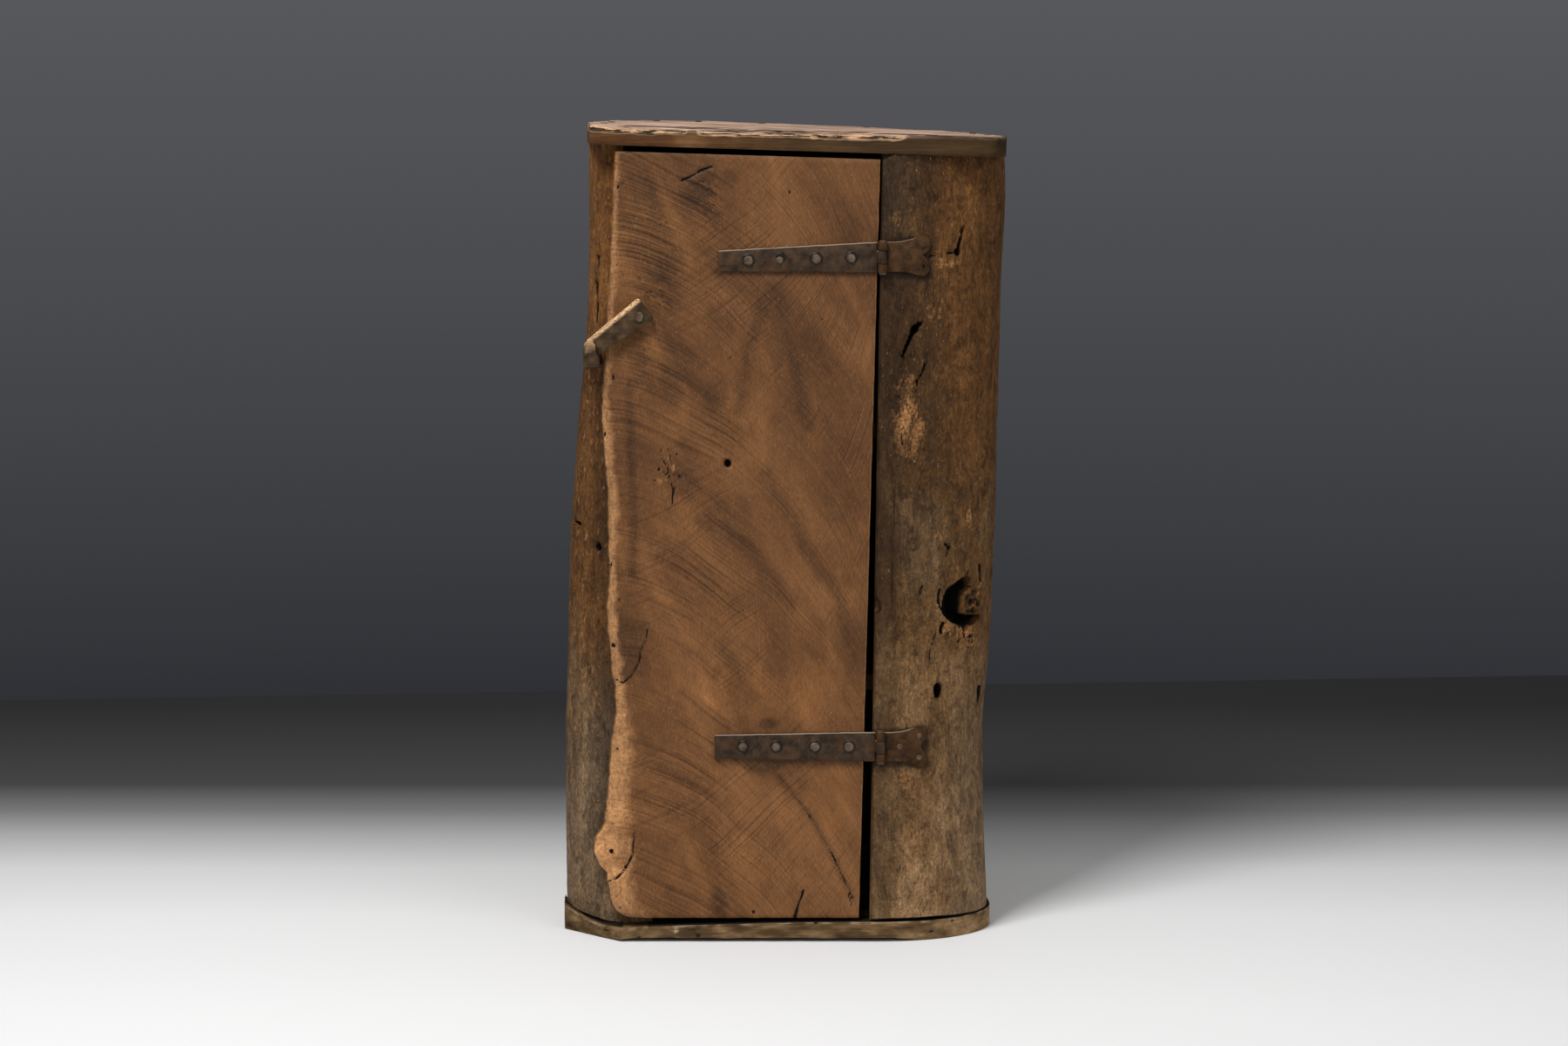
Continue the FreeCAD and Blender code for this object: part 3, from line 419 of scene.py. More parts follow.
LID_LEFT = ((0.052, 0.0215, 0.0070), (0.096, 0.0405, 0.0130), (0.185, 0.0920, 0.0370))
LID_RIGHT = ((0.026, 0.0140, 0.0050), (0.040, 0.0215, 0.0078), (0.064, 0.0345, 0.0130))
FOOT_EDGE = ((0.115, 0.067, 0.0290), (0.230, 0.138, 0.0630), (0.380, 0.238, 0.1190))
lid_wood = board_finish(
    "lid wood", ((0.200, 0.126, 0.086), (0.345, 0.228, 0.162), (0.500, 0.345, 0.255)),
    tone(0.46, 0.270, 0.140), tone(0.016, 0.009, 0.005), 1.4, (LID_LEFT, LID_RIGHT), slit_at=0.515)
foot_wood = board_finish(
    "foot wood", ((0.038, 0.0205, 0.0080), (0.116, 0.0670, 0.0285), (0.280, 0.172, 0.0820)),
    tone(0.46, 0.330, 0.21), tone(0.014, 0.010, 0.007), 1.1, (FOOT_EDGE, FOOT_EDGE), (40, 45, 14))
shelf_wood = board_finish(
    "shelf wood", ((0.085, 0.047, 0.022), (0.135, 0.076, 0.036), (0.195, 0.115, 0.058)),
    tone(0.30, 0.18, 0.09), tone(0.02, 0.012, 0.007), 0.8)
peg_wood = board_finish(
    "peg wood", ((0.10, 0.058, 0.028), (0.15, 0.09, 0.045), (0.20, 0.125, 0.065)),
    tone(0.30, 0.18, 0.09), tone(0.02, 0.012, 0.007), 0.5)
button_wood = board_finish(
    "button wood", ((0.024, 0.0140, 0.0066), (0.052, 0.0310, 0.0148), (0.100, 0.0610, 0.0300)),
    tone(0.58, 0.350, 0.190), tone(0.014, 0.010, 0.007), 0.9, patch=(12, 12, 12))

# %% [markdown]
# ## Iron
# The hinges are hand-forged: flat, dark and dull, with hammer dents and a little brown rust. Plain metal
# would mirror the studio, so the iron is only partly metallic and rough, and a random field lets rust
# through. Pins and heads are a bit brighter: worn, and with a painted highlight. The upper edges carry a
# painted highlight too, and dark rings round the rivet heads are painted shade.


# %% Iron finishes
def iron_finish(name, dark, light, rust_amount, rough, gloss):
    iron = Finish(name)
    dents = iron.cloud((9, 9, 9), detail=3)
    scale = iron.cloud((1.6, 1.6, 1.6), detail=4, rough=0.65)
    rust = iron.cloud((17, 17, 13), detail=5, rough=0.65, shift=2.0)
    iron.colour = iron.ramp(dents, (0.35, dark), (0.68, light))
    iron.tint(0.7, scale, (0.32, 0.55), (0.68, 1.4))
    iron.cover(iron.ramp(rust, (0.52, 0.0), (0.72, rust_amount)), tone(0.095, 0.038, 0.0135))
    # The marked upper edges turn pale: painted highlight, with rubbed iron.
    iron.cover(iron.mark("rub"), tone(0.33, 0.260, 0.200))
    # Pit is near black: the lost nail's hole, and the rings round the rivet heads, which are painted shade
    # except at the lost head.
    iron.cover(iron.mark("pit"), tone(0.003, 0.002, 0.002))
    height = iron.weigh((dents, 1), (scale, 0.3))
    dullness = iron.ramp(scale, (0.3, rough + 0.18), (0.7, rough))
    return iron.done(dullness, height, 0.8, gloss, metal=0.1)


strap_iron = iron_finish("forged iron", (0.021, 0.0122, 0.0064), (0.062, 0.0355, 0.0182), 0.7, 0.48, 0.17)
leaf_iron = iron_finish("rusty iron", (0.028, 0.0136, 0.0054), (0.070, 0.0345, 0.0138), 0.6, 0.6, 0.10)
# Heads and pins are lighter: worn iron with a painted highlight.
head_iron_with_highlight = iron_finish("rubbed iron", (0.050, 0.0330, 0.0210), (0.150, 0.1050, 0.0700), 0.6, 0.28, 0.22)

# %% [markdown]
# ## Helpers for shaping
# Rough wood is easiest to shape as a fine grid that is laid over the form: a flat grid is added by hand,
# its points go to their places in rows and columns, the seam is welded and the open ends are closed. A
# modifier could rough up a plain block, but it can't put a crack where the real one is. The helpers below
# count in millimetres.


# %% Random fields, distances and marks
def field(x, y, z, size, seed):
    """Smooth random numbers of about -1 to 1 that change over the given millimetres."""
    x, y, z = np.broadcast_arrays(x, y, z)
    spots = np.stack([x.ravel() / size[0], y.ravel() / size[1], z.ravel() / size[2]], -1) + 17.3 * seed
    return np.array([noise.noise(spot) for spot in spots.tolist()]).reshape(x.shape)


def from_path(x, z, path, taper=0.0):
    """Distance of each point from a crooked line on the front. With taper it grows towards the line's end."""
    best = np.full(np.shape(x), np.inf)
    steps = len(path) - 1
    for k, ((x0, z0), (x1, z1)) in enumerate(zip(path, path[1:])):
        dx, dz = x1 - x0, z1 - z0
        share = np.clip(((x - x0) * dx + (z - z0) * dz) / (dx * dx + dz * dz), 0, 1)
        away = np.hypot(x - x0 - share * dx, z - z0 - share * dz)
        best = np.minimum(best, away * (1 + taper * (k + share) / steps))
    return best


def within(x, z, outline):
    """How far inside an outline on the front each point lies. Outside it is negative."""
    odd = np.zeros(np.shape(x), bool)
    for (x0, z0), (x1, z1) in zip(outline, outline[1:] + outline[:1]):
        if z0 != z1:
            odd ^= ((z0 > z) != (z1 > z)) & (x < x0 + (x1 - x0) * (z - z0) / (z1 - z0))
    return np.where(odd, 1, -1) * from_path(x, z, outline + outline[:1])


def fade(distance, near, far):
    """1 up to near, 0 from far on, and smooth between."""
    share = np.clip((far - distance) / (far - near), 0, 1)
    return share * share * (3 - 2 * share)


def more(mark, amount):
    """Raise a mark to the amount wherever that is higher."""
    np.maximum(mark, amount, out=mark)


print("fade halfway:", fade(1.0, 0.0, 2.0))


# %% The wrapped grid
def deselect():
    if bpy.context.object and bpy.context.object.mode != "OBJECT":
        bpy.ops.object.mode_set(mode="OBJECT")
    bpy.ops.object.select_all(action="DESELECT")


def close_up(angle):
    """Weld what meets, close what is open, turn the faces outwards and smooth all but sharp edges."""
    bpy.ops.object.mode_set(mode="EDIT")
    for mend, how in ((bpy.ops.mesh.remove_doubles, {"threshold": 0.000005}),
                      (bpy.ops.mesh.fill_holes, {"sides": 0}),
                      (bpy.ops.mesh.normals_make_consistent, {"inside": False})):
        bpy.ops.mesh.select_all(action="SELECT")
        mend(**how)
    bpy.ops.object.mode_set(mode="OBJECT")
    bpy.ops.object.shade_smooth_by_angle(angle=math.radians(angle))


def paint(piece, **marks):
    """Put marks on the points of a piece, for the finish to read."""
    for mark, values in marks.items():
        piece.data.attributes.new(mark, "FLOAT", "POINT").data.foreach_set("value", values)


def wrapped_grid(name, places, **marks):
    """Lay a grid on places, rows x columns x 3 in mm. The last column meets the first one."""
    rows, columns = places.shape[:2]
    deselect()
    bpy.ops.mesh.primitive_grid_add(x_subdivisions=columns, y_subdivisions=rows - 1, size=2)
    piece = bpy.context.object
    piece.name = name
    flat = np.empty(len(piece.data.vertices) * 3)
    piece.data.vertices.foreach_get("co", flat)
    flat = flat.reshape(-1, 3)
    column = np.rint((flat[:, 0] + 1) / 2 * columns).astype(int) % columns
    row = np.rint((flat[:, 1] + 1) / 2 * (rows - 1)).astype(int)
    piece.data.vertices.foreach_set("co", (places[row, column] / 1000).ravel())
    paint(piece, **{mark: np.clip(values[row, column], 0, 1) for mark, values in marks.items()})
    close_up(55)
    return piece


def settle(piece, finish, body, slot, *nodes):
    """Give a piece its finish, its body and the frame nodes that it stands for. The slot is not used."""
    piece.data.materials.clear()
    piece.data.materials.append(finish)
    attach(piece, body)
    if nodes:
        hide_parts(*nodes)
    faces = sum(len(face.vertices) - 2 for face in piece.data.polygons)
    print(piece.name, "rides on", body, "with", faces, "triangles")


# %% [markdown]
# ## Trunk
# In plan the trunk is a wide C: a flat cheek that carries the hinges, round sides and back, and a jamb on
# the left that the door laps over. Its outline swells and shrinks from foot to crown. A grid with
# columns round the C and rows up the height follows that, fine where the camera sees it and coarse at the
# back and inside. The lower rim doesn't sit tight on the foot: it hangs lower at the left corner, and
# under the cheek a dark gap stays open.

# %% Measures of the frame
FRONT = -173.3
FOOT_Z, LOFT_TOP, CROWN_Z = 24.0, 939.0, 927.0
CROWN_TILT = math.radians(1.78)
CROWN_SLOPE = math.tan(CROWN_TILT)
WALL, BACK_X, LEFT_Y, RIGHT_Y = 38.0, -80.0, 95, 90
CHEEK_Y, CHEEK_FALL, FLAT_END = 0.6, 89.4, 134
JAMB_Y, JAMB_BACK, CHEEK_BACK = 22.5, 44.5, 40.6
QUARTER = math.pi / 2
HINGES = {"upper": (805.5, 188, 7.5, 16.5), "lower": (234.0, 194, 14, 14)}
print("hinges at z =", [middle for middle, *_ in HINGES.values()])

# %% Plan of the trunk
LEVEL_SHARES = (0.0, 0.06, 0.14, 0.25, 0.36, 0.50, 0.62, 0.70, 0.76, 0.86, 0.93, 1.0)
LEFT_HALF = (257.6, 257.2, 256.6, 256.4, 254.6, 249.2, 240.2, 233.2, 227.8, 225.6, 224.9, 222.6)
RIGHT_HALF = (249.5, 248.0, 243.6, 241.6, 249.6, 255.0, 255.6, 256.6, 258.8, 261.2, 263.2, 262.0)
COLUMNS = (12, 94, 40, 30, 40, 11, 4, 6, 14, 18, 7, 6)
(FLAT, ROUND, RIGHT_BACK, LEFT_BACK, LEFT, JAMB, LAP, IN_LEFT, IN_LEFT_BACK, IN_RIGHT_BACK, IN_RIGHT,
 SILL) = range(len(COLUMNS))
STEPS = [np.arange(count) / count for count in COLUMNS]


def line(start, end, share):
    return [a + (b - a) * share for a, b in zip(start, end)]


def oval(middle, reach, angles):
    return middle[0] + reach[0] * np.cos(angles), middle[1] + reach[1] * np.sin(angles)


def eased(share, values):
    """A value between the levels, with their corners rounded off."""
    nearby = np.clip(share + np.linspace(-0.03, 0.03, 7), 0, 1)
    return np.interp(nearby, LEVEL_SHARES, values).mean()


def trunk_plan(share):
    """The C at one share of the height, as x and y of all columns. The door's face is at y = 0."""
    left, right = eased(share, LEFT_HALF), eased(share, RIGHT_HALF)
    deep = 358 - 12 * share
    sill_right = 105 + 11 * share
    corner = 182 + 19 * share
    sill_left = corner - 30 + 9.5 * share
    half = left + BACK_X
    jamb_angle = math.acos((corner + BACK_X) / half)
    jamb_reach = (LEFT_Y - JAMB_Y) / math.sin(jamb_angle)
    inner = half - WALL
    inner_angle = math.acos((sill_left + BACK_X) / inner)
    inner_reach = (LEFT_Y - JAMB_BACK) / math.sin(inner_angle)
    left_middle, right_middle = (BACK_X, LEFT_Y), (BACK_X, RIGHT_Y)
    in_right, in_deep = right - WALL, deep - WALL
    runs = [
        line((sill_right, CHEEK_Y), (FLAT_END, CHEEK_Y), STEPS[FLAT]),
        oval((FLAT_END, RIGHT_Y), (right - FLAT_END, CHEEK_FALL), QUARTER * (STEPS[ROUND] - 1)),
        oval(right_middle, (right - BACK_X, deep - RIGHT_Y), QUARTER * STEPS[RIGHT_BACK]),
        oval(left_middle, (half, deep - LEFT_Y), QUARTER * (1 + STEPS[LEFT_BACK])),
        oval(left_middle, (half, jamb_reach), math.pi + jamb_angle * STEPS[LEFT]),
        line((-corner, JAMB_Y), (-sill_left, JAMB_Y), STEPS[JAMB]),
        line((-sill_left, JAMB_Y), (-sill_left, JAMB_BACK), STEPS[LAP]),
        oval(left_middle, (inner, inner_reach), math.pi + inner_angle * (1 - STEPS[IN_LEFT])),
        oval(left_middle, (inner, in_deep - LEFT_Y), math.pi - QUARTER * STEPS[IN_LEFT_BACK]),
        oval(right_middle, (in_right - BACK_X, in_deep - RIGHT_Y), QUARTER * (1 - STEPS[IN_RIGHT_BACK])),
        oval((sill_right, RIGHT_Y), (in_right - sill_right, 49.4), -QUARTER * STEPS[IN_RIGHT]),
        line((sill_right, CHEEK_BACK), (sill_right, CHEEK_Y), STEPS[SILL]),
    ]
    return [np.concatenate(values) for values in zip(*runs)]


print("columns round the trunk:", sum(COLUMNS))

# %% Grid of the trunk
EDGE = np.repeat(np.arange(len(COLUMNS)), COLUMNS)
ON_EDGE = np.concatenate(STEPS)


def on(*runs):
    """Which columns lie on these runs of the plan."""
    return np.isin(EDGE, runs)


level = np.linspace(0, 1, 1801)
fineness = 0.85 + 1.1 * fade(np.abs(level - 0.41), 0.05, 0.08) + 0.35 * fade(np.abs(level - 0.67), 0.1, 0.13)
rise_share = np.interp(np.linspace(0, 1, 345), np.cumsum(fineness) / fineness.sum(), level)
rise_share[0] = 0.0
plans = np.array([trunk_plan(share * (CROWN_Z - FOOT_Z) / (LOFT_TOP - FOOT_Z)) for share in rise_share])
tx, ty = plans[:, 0], plans[:, 1]
seat_z = np.full(tx[0].shape, FOOT_Z)
for columns, at_x, height in (
        (on(FLAT, ROUND), (105, 130, 180, 215, 245), (25.5, 27.0, 27.6, 26.0, 24.3)),
        (on(LEFT, JAMB, LAP), (-257, -250, -225, -205, -182, -150), (24, 23, 18.6, 15.6, 15.4, 18))):
    seat_z[columns] = np.interp(tx[0][columns], at_x, height)
crown_z = CROWN_Z - tx * CROWN_SLOPE
tz = seat_z + rise_share[:, None] * (crown_z - seat_z)
print("trunk grid, rows and columns:", tx.shape)

# %% [markdown]
# The surface now gets its life: broad dents from the axe, upright flutes, fine ridges of the grain, and
# then the places that one would know again, each where the photograph shows it: knothole, slits, worm
# patch, worn arrises. Depth goes inwards along the normal, so that nothing grows over door or hinges.


# %% Relief of the trunk
def trunk_field(wide, high, seed):
    return field(tx, ty, tz, (wide, wide, high), seed)


def off_trunk(x, z, wide, high):
    """Distance from an upright or lying oval on the trunk, 1 at its rim."""
    return np.hypot((tx - x) / wide, (tz - z) / high)


slope_x, slope_y = (np.roll(value, -1, 1) - np.roll(value, 1, 1) for value in (tx, ty))
slope = np.hypot(slope_x, slope_y)
out_x, out_y = slope_y / slope, -slope_x / slope
dents = trunk_field(70, 130, 1)
flutes = trunk_field(24, 260, 2)
ridges = trunk_field(7, 90, 3)
crumbs = trunk_field(5, 11, 4)
everywhere = np.ones(tx.shape)
cheek = on(FLAT, ROUND) * everywhere
left_side = on(LEFT) * everywhere
left_blend = np.where(on(LEFT, JAMB), 1.0, on(LEFT_BACK) * fade(ty, 90, 200))
right_blend = np.where(on(FLAT, ROUND), 1.0, on(RIGHT_BACK) * fade(ty, 90, 200))
behind = on(RIGHT_BACK, LEFT_BACK) * fade(-ty, -190, -130)
outside = on(ROUND, RIGHT_BACK, LEFT_BACK, LEFT) * everywhere
outside[:, on(FLAT)] = 0.5 * STEPS[FLAT]
outside[:, on(LEFT)] *= 1 - 0.8 * STEPS[LEFT] ** 4
hollow = on(IN_LEFT_BACK, IN_RIGHT_BACK) * everywhere
pit, raw, shade, light, hinges = (np.zeros(tx.shape) for _ in range(5))
for middle, *_ in HINGES.values():
    more(hinges, cheek * fade(np.abs(tz - middle), 26, 44) * fade(tx, 172, 200))
lift = outside * (2.2 * dents + 1.0 * flutes + 0.5 * ridges + 0.45 * crumbs - 1.2) * (1 - 0.9 * hinges)
lift += behind * (2.6 * trunk_field(95, 260, 5) + 1.6 * flutes - 1.5)
lift += hollow * (2.0 * dents + 1.5 * flutes - 1.0)
print("relief from", round(lift.min(), 1), "to", round(lift.max(), 1), "mm")

# %% Knothole
KNOT = [(220, 428), (216, 429), (209, 426), (203, 422), (195, 417), (191, 408), (189.5, 399), (191, 390),
        (195, 385), (201, 380), (207, 376.5), (213.5, 374), (214.5, 366), (220.5, 364.5), (221, 371),
        (228, 376), (233, 381), (229, 383), (219, 383), (213, 386.5), (211.5, 395), (212, 406), (215, 414),
        (221, 418)]
PLUG = [(223, 419), (218, 412), (216, 404), (216, 395), (218, 388), (229, 386), (235, 394), (232, 410)]
deep_in = within(tx, tz, KNOT) + 0.9 * crumbs
plug_in = within(tx, tz, PLUG) + 1.5 * crumbs
lumps = trunk_field(4.5, 6, 6)
crumb = trunk_field(3.4, 4.4, 63) + 0.4 * lumps
collar = fade(off_trunk(209, 398, 1.0, 1.4), 14, 44) * cheek
lift += 2.4 * collar + 1.2 * collar * crumbs
plug = cheek * fade(-plug_in, -2.0, 1.5)
hole = cheek * fade(-deep_in, -1.0, 2.5) * (1 - plug)
lift -= 32 * hole + plug * (3.5 - 5 * lumps - 2 * crumb)
more(pit, cheek * fade(-deep_in, -0.5, 3.0) * (1 - plug))
more(shade, plug * np.clip(0.45 - 1.1 * lumps, 0.0, 0.95))
more(raw, plug * np.clip(0.08 + 0.5 * lumps, 0, 0.4))
more(pit, plug * fade(crumb, -0.5, -0.2))
for oval_spot in ((198, 373, 14, 10), (219, 355, 14, 15), (233, 416, 5, 14)):
    crumbly = cheek * fade(off_trunk(*oval_spot) + 0.25 * crumbs, 0.5, 1.15) * (1 - hole)
    lift -= crumbly * (1.0 - 3.0 * crumb)
    more(raw, crumbly * np.clip(0.2 + 0.5 * crumb, 0, 0.5))
    more(light, crumbly * np.clip(0.5 + 1.2 * crumb, 0, 1))
    more(pit, crumbly * fade(crumb, -0.42, -0.12))
print("dark share of the trunk with its knothole:", round(float(pit.mean()), 4))

# %% Slits: path, half width, depth, darkness and how much they narrow
CHEEK_SLITS = (
    ([(186, 418), (184, 410), (184.5, 402), (187, 394)], 1.5, 3, 0.85, 0.4),
    ([(189, 378), (187.5, 372), (188, 366)], 2.2, 5, 0.9, 0.4),
    ([(216, 427), (220, 437)], 2.0, 6, 0.85, 1.5),
    ([(235, 440), (236, 423)], 2.8, 6, 0.95, 1.5),
    ([(185, 301), (185.5, 293)], 5.0, 16, 1.0, 0.2),
    ([(237, 293), (236, 275)], 3.4, 7, 0.95, 1.5),
    ([(132, 530), (131, 470), (130, 420), (129, 392)], 1.0, 2, 0.62, 0.3),
    ([(108, 406), (113, 396)], 5.0, 6, 1.0, 0.3),
    ([(181, 366), (176, 350), (174, 330)], 1.2, 2, 0.62, 1.5),
    ([(165, 422), (162, 410)], 1.5, 3, 0.7, 1.5),
    ([(193, 470), (198, 466), (194, 458)], 2.6, 4, 0.75, 1.5),
    ([(204, 809), (206, 820), (210, 838)], 3.4, 9, 1.0, 2.2),
    ([(203, 812), (190, 808), (172, 807)], 1.9, 4, 0.8, 1.5),
    ([(155, 722), (151, 715), (147, 706), (141, 692)], 4.8, 12, 1.0, 3.0),
    ([(161, 728), (154, 721)], 2.8, 8, 0.95, 0.8),
    ([(143, 690), (139, 676)], 1.2, 2, 0.6, 1.5),
    ([(167, 682), (165, 673), (159, 664), (157, 652)], 1.8, 4, 0.8, 1.5),
)
LEFT_SLITS = (
    ([(-213, 803), (-213, 790)], 2.4, 8, 0.95, 0.3),
    ([(-215, 771), (-214, 748), (-215, 727)], 2.6, 8, 0.9, 0.5),
    ([(-214, 466), (-214, 462)], 3.4, 9, 1.0, 0.0),
    ([(-243, 489), (-236, 486)], 2.8, 7, 0.95, 1.5),
)
for side, slits in ((cheek, CHEEK_SLITS), (left_side, LEFT_SLITS)):
    for path, width, depth, dark, taper in slits:
        ragged = from_path(tx, tz, path, taper) + 0.22 * width * (ridges + crumbs)
        lift -= side * depth * fade(ragged, width * 0.5, width * 1.2)
        more(pit, side * dark * fade(ragged, width * 0.5, width * 1.5))
print("dark share of the trunk:", round(float(pit.mean()), 4))

# %% Worm patch and pale scuffs
SCUFFS = ((192, 797, 19, 9, 0.5), (178, 742, 12, 15, 0.2), (196, 372, 20, 12, 0.35), (213, 366, 14, 14, 0.45),
          (222, 500, 8, 22, 0.4), (186, 480, 12, 8, 0.3), (150, 196, 22, 40, 0.2), (160, 120, 14, 30, 0.2),
          (133, 850, 16, 12, 0.22))
worm_bits = trunk_field(3.4, 11, 8)
worm_lumps = trunk_field(10, 24, 28)
worm = fade(off_trunk(148, 624, 26, 62) + 0.35 * worm_lumps, 0.7, 1.1) * cheek
lift -= worm * (1.8 + 2.0 * np.maximum(worm_bits, 0))
strongest = fade(off_trunk(149, 608, 22, 42) + 0.3 * worm_lumps, 0.3, 1.2)
more(raw, worm * np.clip(0.16 + 0.42 * strongest + 0.75 * worm_lumps, 0, 0.95))
more(pit, worm * fade(-worm_bits, -0.66, -0.38) * 0.75)
for *oval_spot, amount in SCUFFS:
    scuff = fade(off_trunk(*oval_spot) + 0.5 * worm_lumps + 0.6 * worm_bits, 0.35, 0.85) * cheek
    more(raw, 1.35 * amount * scuff)
    lift += 0.9 * scuff
print("pale share of the trunk:", round(float(raw.mean()), 4))

# %% Worn edges
arris = np.where(on(FLAT), ON_EDGE * 26, np.where(on(SILL), (1 - ON_EDGE) * 40, 99.0))
wear = fade(arris, 0, 5) * (1.6 + 1.4 * trunk_field(9, 40, 9))
notch = fade(np.hypot(arris / 9, (tz - 401) / 11), 0.3, 1.0) * (arris < 90)
wear += 7.0 * notch
more(pit, 0.9 * notch)
corner_cut = np.clip(17 - (tx - 113) - (crown_z - tz), 0, 17) * on(FLAT)
lift -= wear + 0.6 * corner_cut
# The lowest row is painted dark: painted shade in the gap between trunk and foot.
pit[0] = on(FLAT, ROUND, LEFT, JAMB) * 0.9
print("arris wear up to", round(float(wear.max()), 1), "mm")

# %% Tints, painted shade and painted light of the trunk
# Painted shade: on the cheek next to the door, along its arrises, inside the hollow, beside the door's left
# edge and as a shadow round each hinge leaf.
more(shade, cheek * fade(tx + 5 * dents, 122, 146) * (0.42 + 0.14 * ridges))
more(shade, fade(np.abs(arris), 0, 6) * 0.5)
more(shade, on(LAP, IN_LEFT, IN_LEFT_BACK, IN_RIGHT_BACK, IN_RIGHT, SILL) * 0.3)
beside_door = on(LEFT, JAMB) * fade(ty + 5 * ridges, 30, 50) * fade(-tz, -140, -40)
more(shade, beside_door * np.interp(tz, (560, 720), (0.5, 0.08)))
for middle, *_ in HINGES.values():
    round_leaf = np.maximum(np.abs(tz - middle + 2) - 20, tx - 170) + 1.5 * crumbs
    more(shade, cheek * fade(round_leaf, 1, 7) * 0.8)
pale_bits = trunk_field(4, 15, 61) + 0.4 * trunk_field(2.5, 5, 62)
near_front = fade(-tz, -60, -30) * fade(ty, 60, 95)
more(raw, on(LEFT, JAMB) * fade(-pale_bits, -0.55, -0.38) * 0.6 * near_front)
# Painted light: the right round, which turns away from the lamps, is made lighter, most at mid height, and so
# are the lowest part and the upper half of the left side. The pale streak low on the left side is the wood's
# own.
by_height = np.interp(tz, (60, 300, 480, 700, 900), (0.05, 0.3, 0.6, 0.45, 0.3))
more(light, right_blend * fade(-tx, -212, -178) * by_height)
left_streak = fade(np.abs(tx + 234) + 4 * flutes, 2, 12) * fade(np.abs(tz - 230), 110, 190)
more(light, left_side * left_streak * 0.35)
more(light, left_blend * fade(tz, 60, 170) * 0.1)
more(light, left_blend * (0.15 + 0.85 * fade(-tz, -760, -680)) * fade(-tz, -420, -300))
grey = left_blend * fade(tz + 60 * dents, 180, 420)
more(grey, on(RIGHT_BACK, LEFT_BACK) * (1 - right_blend) * 0.3)
more(grey, cheek * fade(off_trunk(160, 470, 42, 70) + 0.3 * dents, 0.4, 1.1) * 0.35)
more(grey, cheek * fade(tx + 20 * dents, 130, 175) * fade(-tz, -860, -700) * 0.5)
more(grey, right_blend * fade(tz + 40 * dents, 200, 420) * (0.35 + 0.4 * fade(-tx, -215, -180)))
warm = left_blend * fade(-tz - 60 * dents, -420, -250)
more(warm, right_blend * fade(-tx - 14 * dents, -200, -165) * fade(-tz, -640, -480) * 0.7)
print("grey share of the trunk:", round(float(grey.mean()), 2), "warm share:", round(float(warm.mean()), 2))

# %% The finished trunk
places = np.stack([tx + lift * out_x, ty + lift * out_y + FRONT, tz], -1)
trunk_piece = wrapped_grid("trunk", places, pit=pit, raw=raw, grey=grey, warm=warm, shade=shade, light=light,
                           back=behind)
settle(trunk_piece, trunk_wood, "carcass", "trunk_wood", "trunk_shell")

# %% [markdown]
# ## Door plank
# One wide plank. Its right edge is sawn, its left edge is the outside of the tree with all its bumps, and
# there the face rounds over. The grid runs round the plank in columns and up it in rows, about two
# millimetres fine on the face, so that cracks, the burl at the bottom left and worm marks can be sunk into
# it. The saw marks are finer than that and are left to the finish.

# %% Outline of the door
EDGE_Z = (28, 34, 42, 60, 80, 90, 104, 124, 140, 160, 199, 243, 270, 304, 316, 352, 395, 422, 461, 528, 620,
          660, 728, 780, 827, 880, 928)
EDGE_X = (182, 192, 198, 202, 204, 213, 218, 216, 206, 203, 200, 197, 191, 192, 196, 199, 202, 198, 199, 200,
          206, 204, 199, 196, 192, 190, 189.6)
DOOR_FOOT, DOOR_HIGH, DOOR_THICK = 28, 892.3, 22
DOOR_ROWS, FACE, RIGHT_RIM, BACK, LEFT_RIM = 431, 160, 5, 22, 7
door_share = np.linspace(0, 1, DOOR_ROWS)[:, None]
row_z = DOOR_FOOT + door_share * 895


def up_the_edge(size, seed):
    return field(0, 0, row_z, (9, 9, size), seed)


edge_left = -np.interp(row_z, EDGE_Z, EDGE_X)
edge_left += 1.6 * up_the_edge(16, 11) + 0.9 * up_the_edge(5, 12)
edge_right = np.interp(row_z, (28, 923), (92, 114)) + 0.5 * up_the_edge(22, 13)
across = np.linspace(0, 1, FACE + 1)[None, :]
dx = edge_left + (edge_right - edge_left) * across
dz = DOOR_FOOT + door_share * (DOOR_HIGH - dx * CROWN_SLOPE)
print("door grid, rows and columns on the face:", dx.shape)


# %% Relief of the door's face
def door_field(wide, high, seed):
    return field(dx, 0, dz, (wide, 9, high), seed)


def off_door(x, z, wide, high):
    """Distance from an oval on the door, 1 at its rim."""
    return np.hypot((dx - x) / wide, (dz - z) / high)


depth, pit, raw, stain, chatter, light = (np.zeros(dx.shape) for _ in range(6))
soft = door_field(60, 110, 14)
grit = door_field(5, 9, 15)
chips = door_field(11, 17, 16)
depth += 0.5 + 0.45 * soft + 0.12 * grit
from_left = dx - edge_left
wane = 10 + 5 * field(0, 0, dz, (9, 9, 70), 17) + 3 * field(0, 0, dz, (9, 9, 21), 23)
wane += 11 * fade(dz, 180, 330)
depth += (6.0 + 1.6 * door_field(7, 12, 24)) * np.clip(1 - from_left / wane, 0, 1) ** 1.7
from_top = np.abs(dz - (DOOR_FOOT + DOOR_HIGH - dx * CROWN_SLOPE))
for gap in (edge_right - dx, from_top, dz - DOOR_FOOT):
    depth += (1.4 + 0.8 * chips) * fade(gap, 0, 3.2)
